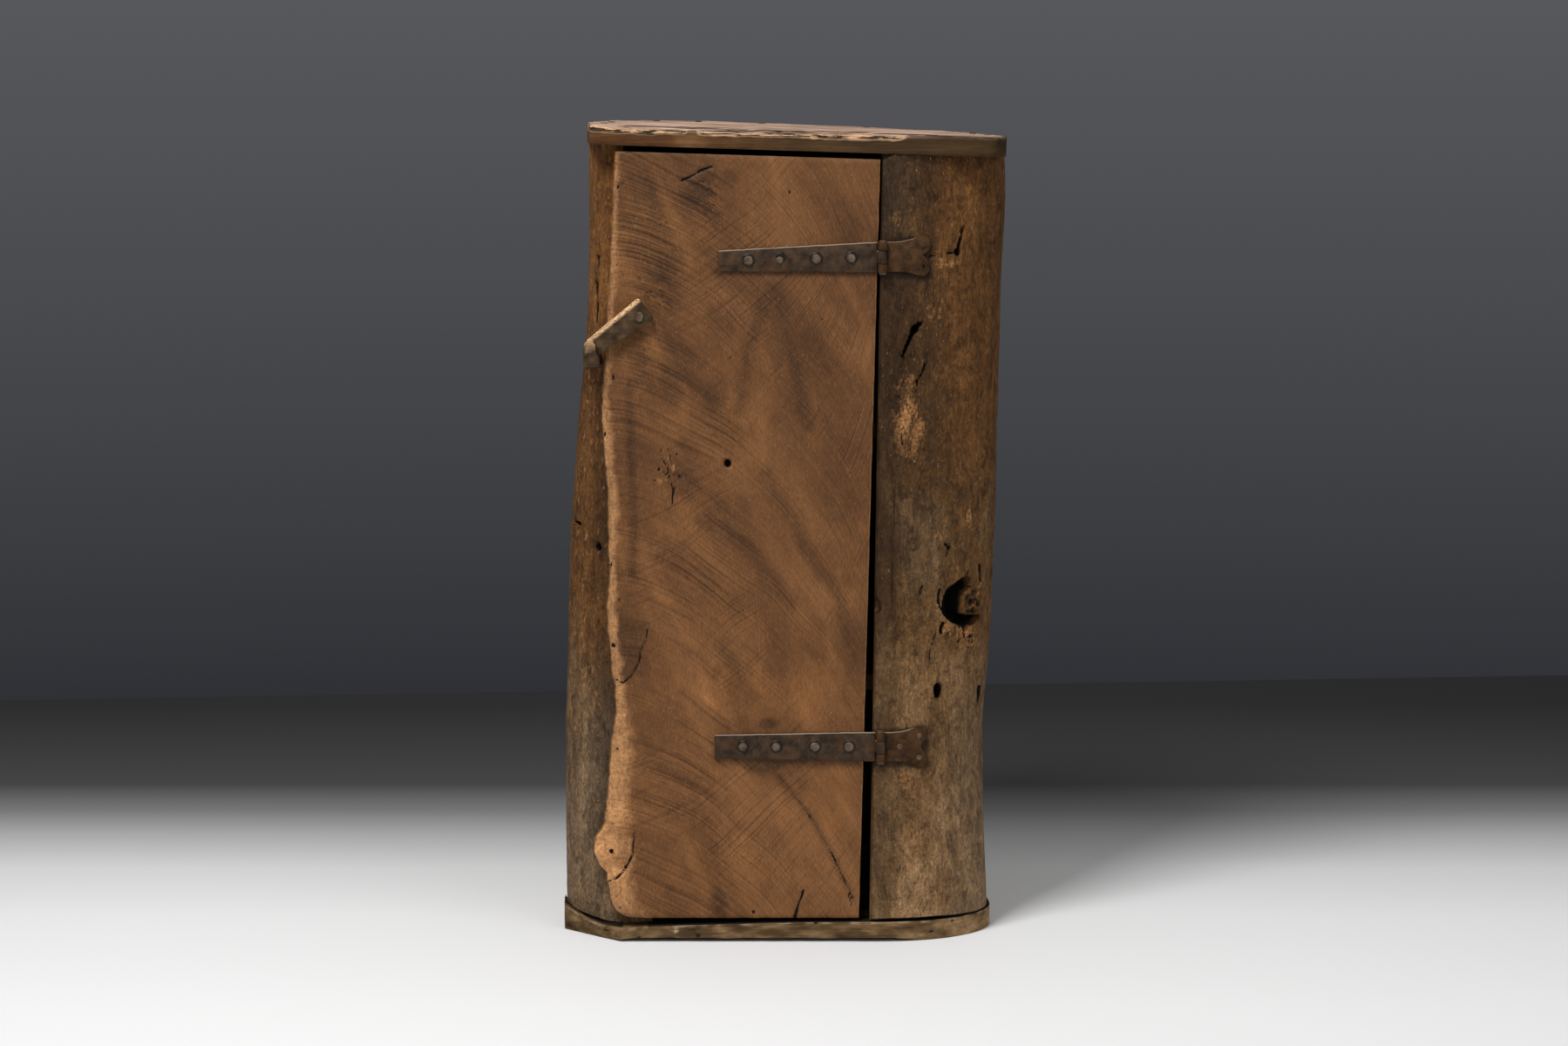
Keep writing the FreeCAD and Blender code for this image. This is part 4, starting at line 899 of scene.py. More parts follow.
# How rubbed the live edge is; the bare band that it gives also carries the painted highlight low down.
rub = 0.55 + 0.5 * chips + 0.45 * grit + 0.4 * door_field(9, 60, 20)
reach = wane * np.interp(dz, (120, 250, 600, 930), (1.45, 1.2, 1.0, 0.6))
bare = fade(from_left / reach + 0.3 * chips, 0.15, 1.3) * np.clip(0.45 + rub, 0, 1)
nicks = fade(from_left, 6, 26) * fade(-door_field(6, 13, 21), -0.62, -0.45)
more(pit, 0.7 * nicks)
depth += 1.8 * nicks
more(raw, bare * np.interp(dz, (40, 330, 620, 740, 930), (1.25, 1.2, 1.1, 0.7, 0.5)))
print("door wane up to", round(float(wane.max()), 1), "mm wide")

# %% [markdown]
# The places of the door that one would know again come from tables, measured on the photograph. Cracks
# could be cut with a knife or with booleans, which leaves messy faces. Here each one is a crooked path, and
# every point of the grid sinks by how near it lies to that path. Stains and bands only tint the points.

# %% Cracks and holes of the door: path, half width, depth and darkness
FLAKE = [(-154, 384), (-155, 372), (-157, 360), (-163, 348), (-165, 334), (-174, 318), (-184, 309),
         (-193, 313)]
CRACKS = [
    ([(-113, 893), (-103, 897), (-92, 904), (-78, 909)], 1.4, 2.2, 0.9),
    ([(-104, 886), (-96, 890), (-88, 892)], 1.1, 1.2, 0.6),
    (FLAKE[1:], 1.0, 1.2, 0.8),
    ([(-137, 587), (-139, 575), (-131, 562), (-128, 548), (-124, 536), (-126, 519)], 1.3, 1.8, 0.74),
    ([(-130, 585), (-128, 574), (-124, 560)], 1.0, 1.2, 0.62),
    ([(27, 61), (24, 52), (20, 42), (17, 29)], 1.6, 2.0, 0.95),
    ([(83, 70), (80, 55), (84, 42)], 1.0, 1.6, 0.7),
    ([(-61, 568), (-61, 566)], 3.6, 9.0, 1.0),
    ([(-172, 130), (-174, 104), (-179, 93), (-186, 82), (-193, 75), (-204, 70)], 1.15, 2.0, 0.8),
    ([(-10, 207), (12, 182), (37, 146), (62, 102), (85, 52)], 1.0, 0.7, 0.75),
]
for x, z, size in ((-32, 35, 1.2), (-141, 560, 1.4), (-120, 578, 1.2), (-146, 547, 1.1), (-117, 552, 1.2),
                   (-58, 690, 0.9), (48, 735, 0.9), (-90, 480, 0.9), (10, 880, 1.0), (38, 868, 1.0)):
    CRACKS.append(([(x, z + 0.6), (x, z - 0.6)], size, 1.6, 0.9))
for x, z, size in ((-199, 108, 2.2), (-211, 86, 1.1), (-206, 77, 1.2), (-196, 34, 1.5), (-201, 50, 0.9),
                   (-190, 40, 0.8)):
    CRACKS.append(([(x, z + 1), (x, z - 1)], size, 2.0, 0.9))
for path, width, sunk, dark in CRACKS:
    ragged = from_path(dx, dz, path) + 0.7 * grit + 0.8 * chips
    depth += sunk * fade(ragged, width * 0.4, width * 1.4)
    more(pit, dark * fade(ragged, width * 0.3, width * 1.7))
print(len(CRACKS), "cracks and holes in the door")

# %% Flake, worm run and burl of the door
off_flake = -within(dx, dz, FLAKE + [(-215, 320), (-215, 400)])
depth += 1.9 * fade(np.abs(off_flake - 0.5), 0, 20) * (off_flake > 0) * fade(dz, 352, 384)
more(stain, 0.34 * fade(off_flake, -6, 2) * fade(np.abs(dz - 350), 30, 90))
worm_run = fade(off_door(-129, 555, 19, 42) + 0.3 * chips, 0.3, 1.1)
channels = door_field(6, 12, 26)
more(pit, worm_run * fade(np.abs(channels), 0.04, 0.18) * 0.58)
more(raw, worm_run * fade(-channels, -0.6, -0.25) * 0.55)
depth += worm_run * (0.8 - 1.4 * channels)
# The bare live edge between about 45 and 230 mm high is painted lighter: painted highlight where it faces the
# key lamp.
more(light, bare * fade(dz, 130, 230) * fade(-dz, -85, -45))
raw *= np.interp(dz, (30, 50), (0.7, 1))
burl = fade(off_door(-196, 98, 27, 50) + 0.2 * chips, 0.45, 1.1)
burl_lumps = door_field(13, 17, 18) + 0.5 * door_field(6, 8, 22)
depth += burl * (2.0 - 3.4 * burl_lumps)
more(raw, burl * np.clip(0.85 + 0.5 * burl_lumps, 0, 1))
more(pit, burl * fade(burl_lumps, -0.8, -0.5) * 0.42)
foot_crumbs = fade(off_door(-194, 42, 13, 18) + 0.3 * chips, 0.4, 1.1)
more(raw, 0.95 * foot_crumbs)
depth += foot_crumbs * (0.8 - 2.0 * burl_lumps)
print("burl lumps up to", round(float(burl_lumps.max()), 2))

# %% Stains of the door: x, z, reach in x and z, amount and lean
STAINS = ((-92, 884, 26, 34, 0.58, 0.5), (-60, 896, 17, 15, 0.42, 0.5), (-124, 802, 20, 26, 0.36, 0.5),
          (-72, 46, 13, 24, 0.6, 0), (-130, 655, 22, 34, 0.32, 0), (-76, 651, 18, 30, 0.42, 0),
          (-172, 346, 13, 38, 0.45, 0), (5, 640, 24, 90, 0.25, 0), (-30, 735, 60, 26, 0.15, 0),
          (70, 545, 26, 120, 0.24, -0.1), (20, 700, 52, 70, 0.3, -0.2), (-110, 560, 26, 40, 0.3, 0),
          (-14, 261, 15, 9, 0.7, 0), (-9, 212, 17, 9, 0.8, 0))
for x, z, wide, high, amount, lean in STAINS:
    away = np.hypot(((dx - x) - lean * (dz - z)) / wide, (dz - z) / high) + 0.18 * chips + 0.12 * soft
    more(stain, amount * fade(away, 0.25, 1.1))
print(len(STAINS), "stains, up to", stain.max())

# %% Soft dark bands, as growth rings leave on a sawn face, and painted shadow with dirt under the straps: path, width and amount
BANDS = (
    ([(-7, 769), (-20, 745), (-36, 705), (-43, 665), (-46, 630)], 13, 0.44),
    ([(-6, 769), (3, 740), (13, 695), (22, 650), (30, 612)], 14, 0.54),
    ([(-95, 502), (-38, 469), (-8, 432), (12, 402)], 12, 0.46),
    ([(-17, 556), (25, 474), (55, 430), (70, 405), (74, 359)], 12, 0.42),
    ([(-67, 355), (-50, 322), (-35, 291)], 17, 0.38),
    ([(-115, 299), (-90, 278), (-63, 257)], 9, 0.42),
    ([(-174, 660), (-174, 585), (-170, 520), (-172, 436)], 9, 0.5),
    ([(-160, 240), (-130, 205), (-100, 190)], 14, 0.26),
    ([(-18, 213), (12, 182), (37, 146), (62, 102), (85, 52)], 6, 0.34),
    # The next two bands follow the lower edges of the upper and lower strap: painted shadow of the straps,
    # with dirt.
    ([(-70, 788), (20, 787), (105, 787)], 8, 0.4),
    ([(-74, 217), (10, 216), (90, 214)], 9, 0.5),
    ([(-40, 212), (-20, 205), (-10, 212)], 8, 0.6),
)
for path, width, amount in BANDS:
    away = from_path(dx, dz, path) / width + 0.3 * soft + 0.2 * chips
    more(stain, amount * fade(away, 0.1, 1.1))
print(len(BANDS), "bands")

# %% Painted sheen with paler wood, and torn places of the door
SHEEN_AND_PALE = ((-40, 300, 130, 44, 0.55), (-130, 835, 62, 52, 0.45), (40, 300, 50, 60, 0.4),
          (-60, 90, 90, 40, 0.25), (60, 180, 36, 60, 0.3))
TORN = ((-150, 835, 38, 44, 1.0), (-142, 768, 44, 30, 1.0), (-95, 870, 34, 40, 0.9), (-120, 680, 30, 34, 0.6),
        (-170, 690, 22, 60, 0.6), (-70, 610, 40, 40, 0.5), (-100, 420, 50, 50, 0.4), (-110, 190, 60, 60, 0.4),
        (-60, 110, 60, 50, 0.3))
# Painted sheen of the lamps, with paler wood, goes into the light mark.
for *oval_spot, amount in SHEEN_AND_PALE:
    more(light, amount * fade(off_door(*oval_spot) + 0.3 * chips + 0.3 * soft, 0.3, 1.1))
for *oval_spot, amount in TORN:
    more(chatter, amount * fade(off_door(*oval_spot) + 0.3 * chips, 0.4, 1.1))
print("dark share of the door:", round(float(pit.mean()), 4))

# %% The finished door
to_back = np.arange(RIGHT_RIM) / RIGHT_RIM
to_left = 1 - np.arange(BACK) / BACK
to_front = 1 - np.arange(LEFT_RIM) / LEFT_RIM
face_y, back_y = depth + FRONT, FRONT + DOOR_THICK
left_x, left_y, left_z = (grid[:, :1] for grid in (dx, face_y, dz))
right_x, right_y, right_z = (grid[:, -1:] for grid in (dx, face_y, dz))
back_x = left_x + (right_x - left_x) * to_left
loop_x = [dx[:, :-1], right_x + 0.4 * np.sin(to_back * math.pi), back_x,
          left_x - 1.8 * np.sin(to_front * math.pi)]
loop_y = [face_y[:, :-1], right_y + (back_y - right_y) * to_back,
          back_y - 0.6 - 0.5 * field(back_x, 3, left_z, (40, 9, 60), 19),
          left_y + (back_y - left_y) * to_front]
loop_z = [dz[:, :-1], right_z + 0 * to_back, left_z + (right_z - left_z) * to_left, left_z + 0 * to_front]
places = np.stack([np.concatenate(values, 1) for values in (loop_x, loop_y, loop_z)], -1)


def round_the_door(face_mark, rim):
    """A mark of the face, and a plain value for rims and back."""
    others = np.full((DOOR_ROWS, RIGHT_RIM + BACK + LEFT_RIM), rim)
    return np.concatenate([face_mark[:, :-1], others], 1)


door_piece = wrapped_grid("door", places, pit=round_the_door(pit, 0.0), raw=round_the_door(raw, 0.25),
                          stain=round_the_door(stain, 0.15), chatter=round_the_door(chatter, 0.0),
                          light=round_the_door(light, 0.0))
settle(door_piece, door_wood, "door", "door_wood", "door_plank")

# %% [markdown]
# ## Lid, foot and shelves
# All boards are slabs with a round back and a straight or bent front. A grid goes round each slab in
# columns from front to back, with one row at every step from left to right, so that the front edge gets
# the most points. The lid's upper front edge broke away in long splinters from the left corner to past
# the middle, its top is full of fissures along the grain, and it slants a little down to the right.


# %% A slab from its front and back lines
UNDER = 8


def slab_rows(left, right, extra):
    """Places from left to right, closer together near the round ends."""
    even = np.linspace(left, right, extra)
    ends = (right - left) * (1 - np.cos(np.linspace(0, 0.36, 12))) / 2
    return np.unique(np.concatenate([even, left + ends, right - ends]).round(2))


def slab(rows, front, back, thick, drop, push, lift_edge):
    """Places, a mask of the top and the number of columns on the face. drop, push and lift_edge shape it."""
    x = rows[:, None]
    near, far = front(rows)[:, None], back(rows)[:, None]
    share = np.concatenate([np.linspace(0, 0.3, 34)[:-1], np.linspace(0.3, 1, 34)])[None, :]
    top_y = near + (far - near) * share
    top_z = thick - drop(x + 0 * top_y, top_y, top_y - near)
    climb = np.linspace(0, 1, 8)[None, :-1]
    face_z = lift_edge(x) * (1 - climb) + top_z[:, :1] * climb
    face_y = near + push(x + 0 * face_z, face_z)
    down = (np.arange(1, 4) / 4)[None, :]
    rear_z = top_z[:, -1:] * (1 - down)
    under = np.linspace(1, 0, UNDER + 1)[None, :-1]
    under_y = near + 1.2 + (far - near - 1.2) * under
    y = np.concatenate([face_y, top_y, far + 0 * rear_z, under_y], 1)
    z = np.concatenate([face_z, top_z, rear_z, 0 * under_y], 1)
    on_top = np.zeros(y.shape)
    on_top[:, climb.size:climb.size + share.size] = 1
    return x + 0 * y, y, z, on_top, climb.size


def seat(x, y, z, height, tilt=0.0):
    """From the slab's own measure to the frame, turned by the slant of the crown."""
    return np.stack([x * math.cos(tilt) + z * math.sin(tilt), y + FRONT,
                     height - x * math.sin(tilt) + z * math.cos(tilt)], -1)


def half_oval(x, middle, reach, rest):
    """How far a quarter oval reaches at x."""
    return rest * np.sqrt(np.clip(1 - ((x - middle) / reach) ** 2, 0, 1))


def two_boards(board, name, node, rows, front, back, joint, **back_options):
    """Split a slab at the joint into a front and a back board."""
    start, end = joint
    board(name + "_front", rows, front, lambda x: np.minimum(back(x), start), node + "_front")
    rear = rows[back(rows) > end + 1][::2]
    board(name + "_back", rear, lambda x: 0 * x + end, back, node + "_back", **back_options)


print("slab helper ready")

# %% Lid
LID_THICK, LID_JOINT, BROKEN_TO = 23, (215, 216.5), 136
TERRACES = ((-205, 60, 27, 2.2), (-110, 190, 41, 2.0), (-205, -20, 55, 1.8), (20, 215, 66, 1.7),
            (-150, 120, 90, 1.8))


def along(x, size, seed):
    """A random field that changes with x alone."""
    return field(x, 0, 0, (size, 9, 9), seed)


def lid_front(x):
    side = np.interp(x, (-226.4, -218.4), (95, -2))
    return np.where(x > 236, 45 - half_oval(x, 236, 24.5, 47), side)


def lid_back(x):
    return np.where(x < BACK_X, 95 + half_oval(x, BACK_X, 146.4, 256), 45 + half_oval(x, BACK_X, 340.6, 306))


def lid_break(x, gap):
    """How deep the upper front edge is broken away, in mm."""
    width = 17 + 8 * along(x, 60, 31) + 6 * along(x, 17, 32)
    deep = np.interp(x, (-226, -150, 20, 136), (6.0, 5.2, 4.6, 5.4)) + 1.0 * along(x, 34, 33)
    deep = deep + 0.9 * along(x, 8, 34)
    kept = fade(BROKEN_TO - x, -12, 6) + fade(np.abs(x + 102), 4, 8) * 0.75
    steps = field(x, gap, 0, (14, 3.2, 9), 35)
    slope = np.clip(1 - gap / np.maximum(width, 4), 0, 1) ** 0.7
    return np.clip(1 - kept, 0, 1) * np.clip(deep * slope + 1.9 * steps * (slope > 0), 0, 11)


def lid_terraces(x, y):
    """Layers that broke off the top in long steps. Returns their depth and the dark cracks at their feet."""
    depth, crack = 0 * x, 0 * x
    for k, (left, right, front_line, height) in enumerate(TERRACES):
        here = fade(np.abs(x - (left + right) / 2), (right - left) / 2 - 30, (right - left) / 2)
        beyond = y - front_line - 5 * along(x, 55, 42 + k) - 1.5 * along(x, 11, 48 + k)
        depth += height * here * fade(beyond, -0.5, 2.5) * fade(-beyond, 20, 34)
        more(crack, here * fade(np.abs(beyond - 1), 2.5, 6.5))
    return depth, crack


def fissures(x, y):
    return -field(x, y, 0, (170, 9, 9), 36)


def lid_drop(x, y, gap):
    worn = 0.7 + 0.6 * field(x, y, 0, (60, 30, 9), 37) + 0.5 * field(x, y, 0, (40, 3, 9), 38)
    stepped, crack = lid_terraces(x, y)
    cracked = 3.0 * fade(fissures(x, y), -0.62, -0.4)
    return lid_break(x, gap) + worn + cracked + 0.8 * fade(gap, 0, 3) + stepped + 1.6 * crack


def lid_push(x, z):
    rough = 0.7 * field(x, 0, z, (30, 9, 9), 39)
    return 0.7 + rough + 0.5 * field(x, 0, z, (9, 9, 4), 40) + 1.2 * fade(z, 0, 3)


def lid_board(name, rows, front, back, node, inside=0):
    """One board of the lid. inside is how far behind the broken edge it starts."""
    def drop(x, y, gap):
        return lid_drop(x, y, gap + inside)

    x, y, z, on_top, face = slab(rows, front, back, LID_THICK, drop, lid_push, lambda x: 0 * x + 0.3)
    gap = y - front(rows)[:, None]
    gap[:, :face] = 0
    gap += inside
    broken = on_top * fade(-lid_break(x, gap), -2.2, -0.8)
    fissure = on_top * fade(fissures(x, y), -0.52, -0.36)
    more(fissure, on_top * lid_terraces(x, y)[1])
    splits = broken * fade(-field(x, gap, 0, (34, 4.5, 9), 41), -0.36, -0.16)
    kept_rim = 0.8 * on_top * fade(-x, -BROKEN_TO - 60, -BROKEN_TO)
    kept_rim *= fade(gap + 9 * field(x, y, 0, (30, 9, 9), 43), 4, 46)
    piece = wrapped_grid(name, seat(x, y, z, CROWN_Z, CROWN_TILT), raw=0.9 * broken,
                         edge=1 - on_top + kept_rim,
                         pit=np.maximum(0.9 * fissure * (1 - broken), 0.8 * splits),
                         split=np.maximum(0.97 * broken, 0.7 * on_top * fade(gap, 10, 60)))
    settle(piece, lid_wood, "carcass", "top_wood", node)


two_boards(lid_board, "lid", "top_board", slab_rows(-226.3, 260.4, 230), lid_front, lid_back, LID_JOINT,
           inside=LID_JOINT[1])

# %% Foot
FOOT_THICK, FOOT_JOINT = 24, (190, 191.5)
RIM_X = (-260, -258, -250, -232, -211, -190, -175, -150, -60, 20, 95, 251)
RIM_Z = (30, 30, 26.8, 18.5, 15, 15.2, 16.3, 18.7, 21.4, 23.4, 24, 24)


def foot_front(x):
    side = np.interp(x, (-260, -258.2, -188.5), (95, 58, -3))
    return np.where(x > 114.2, 90 - half_oval(x, 114.2, 137, 93), side)


def foot_back(x):
    return np.where(x < BACK_X, 95 + half_oval(x, BACK_X, 180, 268), 90 + half_oval(x, BACK_X, 331.2, 273))


def foot_drop(x, y, gap):
    """The board was hewn: its upper front edge sags at the left corner and rises at the left end."""
    sag = (FOOT_THICK - np.interp(x, RIM_X, RIM_Z)) * fade(gap, 24, 36)
    worn = 1.0 + 0.8 * along(x, 24, 51) + 0.6 * along(x, 7, 52)
    return 0.15 + sag + fade(gap, 0, 4.0) * worn


def foot_push(x, z):
    rough = 0.7 * field(x, 0, z, (34, 9, 10), 53)
    return 0.6 + rough + 0.45 * field(x, 0, z, (9, 9, 4), 54) + 0.8 * fade(z, 0, 4)


def foot_edge(x):
    """The lower front edge is worn up most where feet knocked against it."""
    return 0.4 + 4.2 * fade(np.abs(x + 20), 150, 190) + 0.5 * along(x, 25, 55)


def foot_board(name, rows, front, back, node, seen=True):
    """One board of the foot. Only on the front one is the edge under door and trunk seen, so only it gets
    painted shade there.
    """
    x, y, z, on_top, face = slab(rows, front, back, FOOT_THICK, foot_drop, foot_push, foot_edge)
    on_face = np.zeros(x.shape)
    on_face[:, :face + 3] = 1
    scars = field(x, 3, z, (16, 9, 6), 56)
    rim = np.interp(x, RIM_X, RIM_Z)
    edge_rub = on_face * fade(np.abs(z - rim + 1), 0, 3) * fade(-along(x, 14, 57), -0.25, 0.1)
    gap = y - front(rows)[:, None]
    # Painted shade on the top where the door and the trunk's left corner stand over it.
    under_door = fade(-gap, -3.6, -1.6) * np.interp(x, (-160, -148), (0.25, 1))
    shade_under_door_and_trunk = on_top * np.where(x < -186, fade(-gap, -13, -8), under_door) * fade(gap, 24, 40) * seen
    scratch = on_face * fade(np.hypot((x + 123.5) / 2.6, (z - 14) / 3.6), 0.6, 1.3)
    nail_hole = on_face * fade(np.hypot((x + 97.5) / 3.0, (z - 8) / 2.4), 0.6, 1.3)
    dark = np.maximum(shade_under_door_and_trunk, on_face * 0.8 * fade(-scars, -0.62, -0.45))
    # The underside is painted dark: painted shade under the board, which also darkens its worn lower edge.
    dark[:, -UNDER:] = 1
    piece = wrapped_grid(name, seat(x, y, z, 0.0), raw=np.maximum(0.5 * edge_rub, scratch),
                         edge=fade(-x, -225, -130), pit=np.maximum(dark, nail_hole))
    settle(piece, foot_wood, "carcass", "base_wood", node)


two_boards(foot_board, "foot", "base_board", slab_rows(-259.9, 251.1, 200), foot_front, foot_back, FOOT_JOINT,
           seen=False)


# %% Shelves
def shelf(name, node, corner_left, corner_right):
    low, high = ([value * 1000 for value in corner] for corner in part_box(node))
    left, right, front_y, back_y = low[0], high[0], low[1] - FRONT, high[1] - FRONT

    def front(x):
        return np.interp(x, (left, corner_left, corner_right, right), (LEFT_Y, front_y, front_y, RIGHT_Y))

    def back(x):
        wide = LEFT_Y + half_oval(x, BACK_X, BACK_X - left, back_y - LEFT_Y)
        return np.where(x < BACK_X, wide, RIGHT_Y + half_oval(x, BACK_X, right - BACK_X, back_y - RIGHT_Y))

    def drop(x, y, gap):
        worn_edge = fade(gap, 0, 3) * (1.0 + 0.6 * along(x, 30, 62))
        return 0.2 + 0.3 * field(x, y, 0, (50, 14, 9), 61) + worn_edge

    def push(x, z):
        return 0.4 + 0.4 * field(x, 0, z, (40, 9, 9), 63) + 0.9 * fade(z, 0, 3)

    rows = slab_rows(left + 0.1, right - 0.1, 70)
    x, y, z, *_ = slab(rows, front, back, high[2] - low[2], drop, push, lambda x: 0 * x + 0.3)
    settle(wrapped_grid(name, seat(x, y, z, low[2])), shelf_wood, "carcass", "shelf_wood", node)


shelf("shelf_low", "lower_shelf", -154.9, 108.4)
shelf("shelf_high", "upper_shelf", -164.2, 112.0)

# %% [markdown]
# ## Hinges
# Each hinge has a long tapering strap on the door and a fishtail leaf on the trunk. A smith cuts both from
# flat iron and rolls one end round the pin. Here an outline is filled and pulled to its thickness, cut
# across into strips with bisect so that it can bend, and bevelled. The barrels are round stock that is
# joined on. The leaf's tail bends back with the round of the trunk.

# %% Plates from outlines
HAMMER_SEED = 1
noise.seed_set(HAMMER_SEED)  # without it, noise_vector starts from the clock and differs in each run


def wobble(outline, amount, seed, step=7.0):
    """Add points along the outline's edges and shift them a little, as a hammer does."""
    points = []
    for start, end in zip(outline, outline[1:] + outline[:1]):
        count = max(1, int(math.dist(start, end) / step))
        for share in np.arange(count) / count:
            x, z = line(start, end, share)
            push = noise.noise_vector((x / 11 + seed, z / 11, seed))
            points.append((x + amount * push[0], z + amount * push[1]))
    return points


def cut_across(x, z, normal):
    """Cut the piece in edit mode along a plane that stands on the front."""
    bpy.ops.mesh.select_all(action="SELECT")
    bpy.ops.mesh.bisect(plane_co=(x / 1000, 0, z / 1000), plane_no=normal)


def plate(name, outline, face, back, cuts=()):
    """Fill an outline of x and z, pull it from one depth to another and cut it across at some x."""
    deselect()
    bpy.ops.mesh.primitive_circle_add(vertices=len(outline), radius=1, fill_type="NGON")
    piece = bpy.context.object
    piece.name = name
    for vertex, (x, z) in zip(piece.data.vertices, outline):
        vertex.co = (x / 1000, face / 1000, z / 1000)
    bpy.ops.object.mode_set(mode="EDIT")
    bpy.ops.mesh.select_all(action="SELECT")
    bpy.ops.mesh.extrude_region_move(TRANSFORM_OT_translate={"value": (0, (back - face) / 1000, 0)})
    for x in cuts:
        cut_across(x, 0, (1, 0, 0))
    bpy.ops.mesh.select_all(action="SELECT")
    bpy.ops.mesh.normals_make_consistent(inside=False)
    bpy.ops.object.mode_set(mode="OBJECT")
    return piece


def soften(piece, width, segments=2, angle=40):
    """Bevel the sharp edges by that many millimetres and apply it."""
    deselect()
    bpy.context.view_layer.objects.active = piece
    piece.select_set(True)
    bpy.ops.object.modifier_add(type="BEVEL")
    bevel = piece.modifiers[-1]
    bevel.width = width / 1000
    bevel.segments = segments
    bevel.limit_method = "ANGLE"
    bevel.angle_limit = math.radians(angle)
    bpy.ops.object.modifier_apply(modifier=bevel.name)
    bpy.ops.object.shade_smooth_by_angle(angle=math.radians(angle))
    return piece


def round_bar(radius, start, end, place, axis, sides=28):
    """Round stock from start to end along z or y. place holds the other two measures."""
    middle = (start + end) / 2
    if axis == "z":
        spot, turn = (place[0], place[1], middle), (0, 0, 0)
    else:
        spot, turn = (place[0], middle, place[1]), (QUARTER, 0, 0)
    deselect()
    bpy.ops.mesh.primitive_cylinder_add(vertices=sides, radius=radius / 1000, depth=(end - start) / 1000,
                                        location=[value / 1000 for value in spot], rotation=turn)
    bpy.ops.object.transform_apply(location=True, rotation=True, scale=True)
    return bpy.context.object


def joined(name, pieces):
    deselect()
    for piece in pieces:
        piece.select_set(True)
    bpy.context.view_layer.objects.active = pieces[0]
    bpy.ops.object.join()
    pieces[0].name = name
    return pieces[0]


def rub_edges(piece, face, middle):
    """Mark the bevel along the upper edges of a plate for a painted highlight, and for iron that hands and
    rags rubbed bright.
    """
    paint(piece, rub=[0.9 * (v.normal.z > 0.3 and v.co.z * 1000 > middle and v.co.y * 1000 < face + 1.6)
                      for v in piece.data.vertices])


print("plate helpers ready")

# %% Straps, leaves and barrels
HINGE_X, HINGE_Y = 117.0, FRONT - 5.2
IRON, HALF_BARREL, HALF_KNUCKLE, HALF_SLOT = 3, 17.5, 7.25, 7.75
SHOULDER_X, SLOT_X = 111, 122.8
TAILS = {
    "upper": ([(117, 17.4), (128, 17.4), (138, 18.2), (150, 20.6), (160, 24.2), (166.5, 25.4), (170.5, 22),
               (172.4, 15), (171.6, 9)],
              [(163, 2.6), (166, 0), (169, -4), (171, -9), (171, -15), (168.6, -19.6), (164.5, -21.4),
               (157, -20.8), (149, -18), (142, -16.6), (128, -16.8), (117, -17.2)]),
    "lower": ([(117, 17.4), (128, 17.2), (140, 18.0), (150, 20.4), (160, 24.0), (167, 24.6), (171.5, 21.5),
               (172, 15), (169, 8)],
              [(164.5, 2.5), (164.5, -2), (169, -8), (172, -15), (171.5, -21.5), (167, -24.6), (160, -24),
               (150, -20.4), (140, -18), (128, -17.2), (117, -17.4)]),
}


def cheek_fall(x):
    """How far the trunk's round falls back behind the flat of the cheek."""
    return CHEEK_FALL * (1 - math.sqrt(1 - (max(x - FLAT_END, 0) / 121) ** 2))


def barrel(radius, low, high):
    return soften(round_bar(radius, low, high, (HINGE_X, HINGE_Y), "z"), 0.7)


def hinge(which, seed):
    middle, length, above, below = HINGES[which]
    tip = HINGE_X - length
    half = [(SHOULDER_X, HALF_BARREL), (SHOULDER_X, HALF_KNUCKLE), (HINGE_X, HALF_KNUCKLE)]
    strap_line = [(x, middle - z) for x, z in half] + [(x, middle + z) for x, z in reversed(half)]
    strap_line += [(tip, middle + above), (tip, middle - below)]
    strap = plate(which + "_strap", wobble(strap_line, 0.45, seed), FRONT - IRON, FRONT, range(-60, 110, 10))
    for vertex in strap.data.vertices:
        if vertex.co.y < (FRONT - IRON / 2) / 1000:
            vertex.co.y += 0.0005 * noise.noise((vertex.co.x * 40, vertex.co.z * 60, seed)) + 0.0002
    soften(strap, 1.2)
    rub_edges(strap, FRONT - IRON, middle)
    strap = joined(which + "_strap", [strap, barrel(5.4, middle - 7.2, middle + 7.2)])
    settle(strap, strap_iron, "door", "iron", which + "_hinge_strap")

    slot = [(HINGE_X, -HALF_SLOT), (SLOT_X, -HALF_SLOT), (SLOT_X, HALF_SLOT), (HINGE_X, HALF_SLOT)]
    upper_tail, lower_tail = TAILS[which]
    leaf_line = [(x, middle + z) for x, z in reversed(upper_tail + lower_tail + slot)]
    face = FRONT + CHEEK_Y - IRON
    leaf = plate(which + "_leaf", wobble(leaf_line, 0.4, seed + 3), face, face + IRON, range(128, 170, 5))
    for vertex in leaf.data.vertices:
        vertex.co.y += cheek_fall(vertex.co.x * 1000) / 1000
    soften(leaf, 1.1)
    rub_edges(leaf, face, middle + 12)
    barrels = [barrel(5.5, middle + low, middle + high)
               for low, high in ((HALF_SLOT, HALF_BARREL), (-HALF_BARREL, -HALF_SLOT))]
    leaf = joined(which + "_leaf", [leaf] + barrels)
    settle(leaf, leaf_iron, "carcass", "iron", which + "_hinge_frame_leaf")


hinge("upper", 1)
hinge("lower", 5)

# %% [markdown]
# ## Rivets, nails and screw
# The smith's rivets have uneven faceted heads in front and round washers behind the plank. One head of the
# upper strap is lost and shows a rusty stub, and one nail of the upper leaf is gone, which leaves a black
# hole. A head is short round stock with few sides, bevelled until it looks hammered.

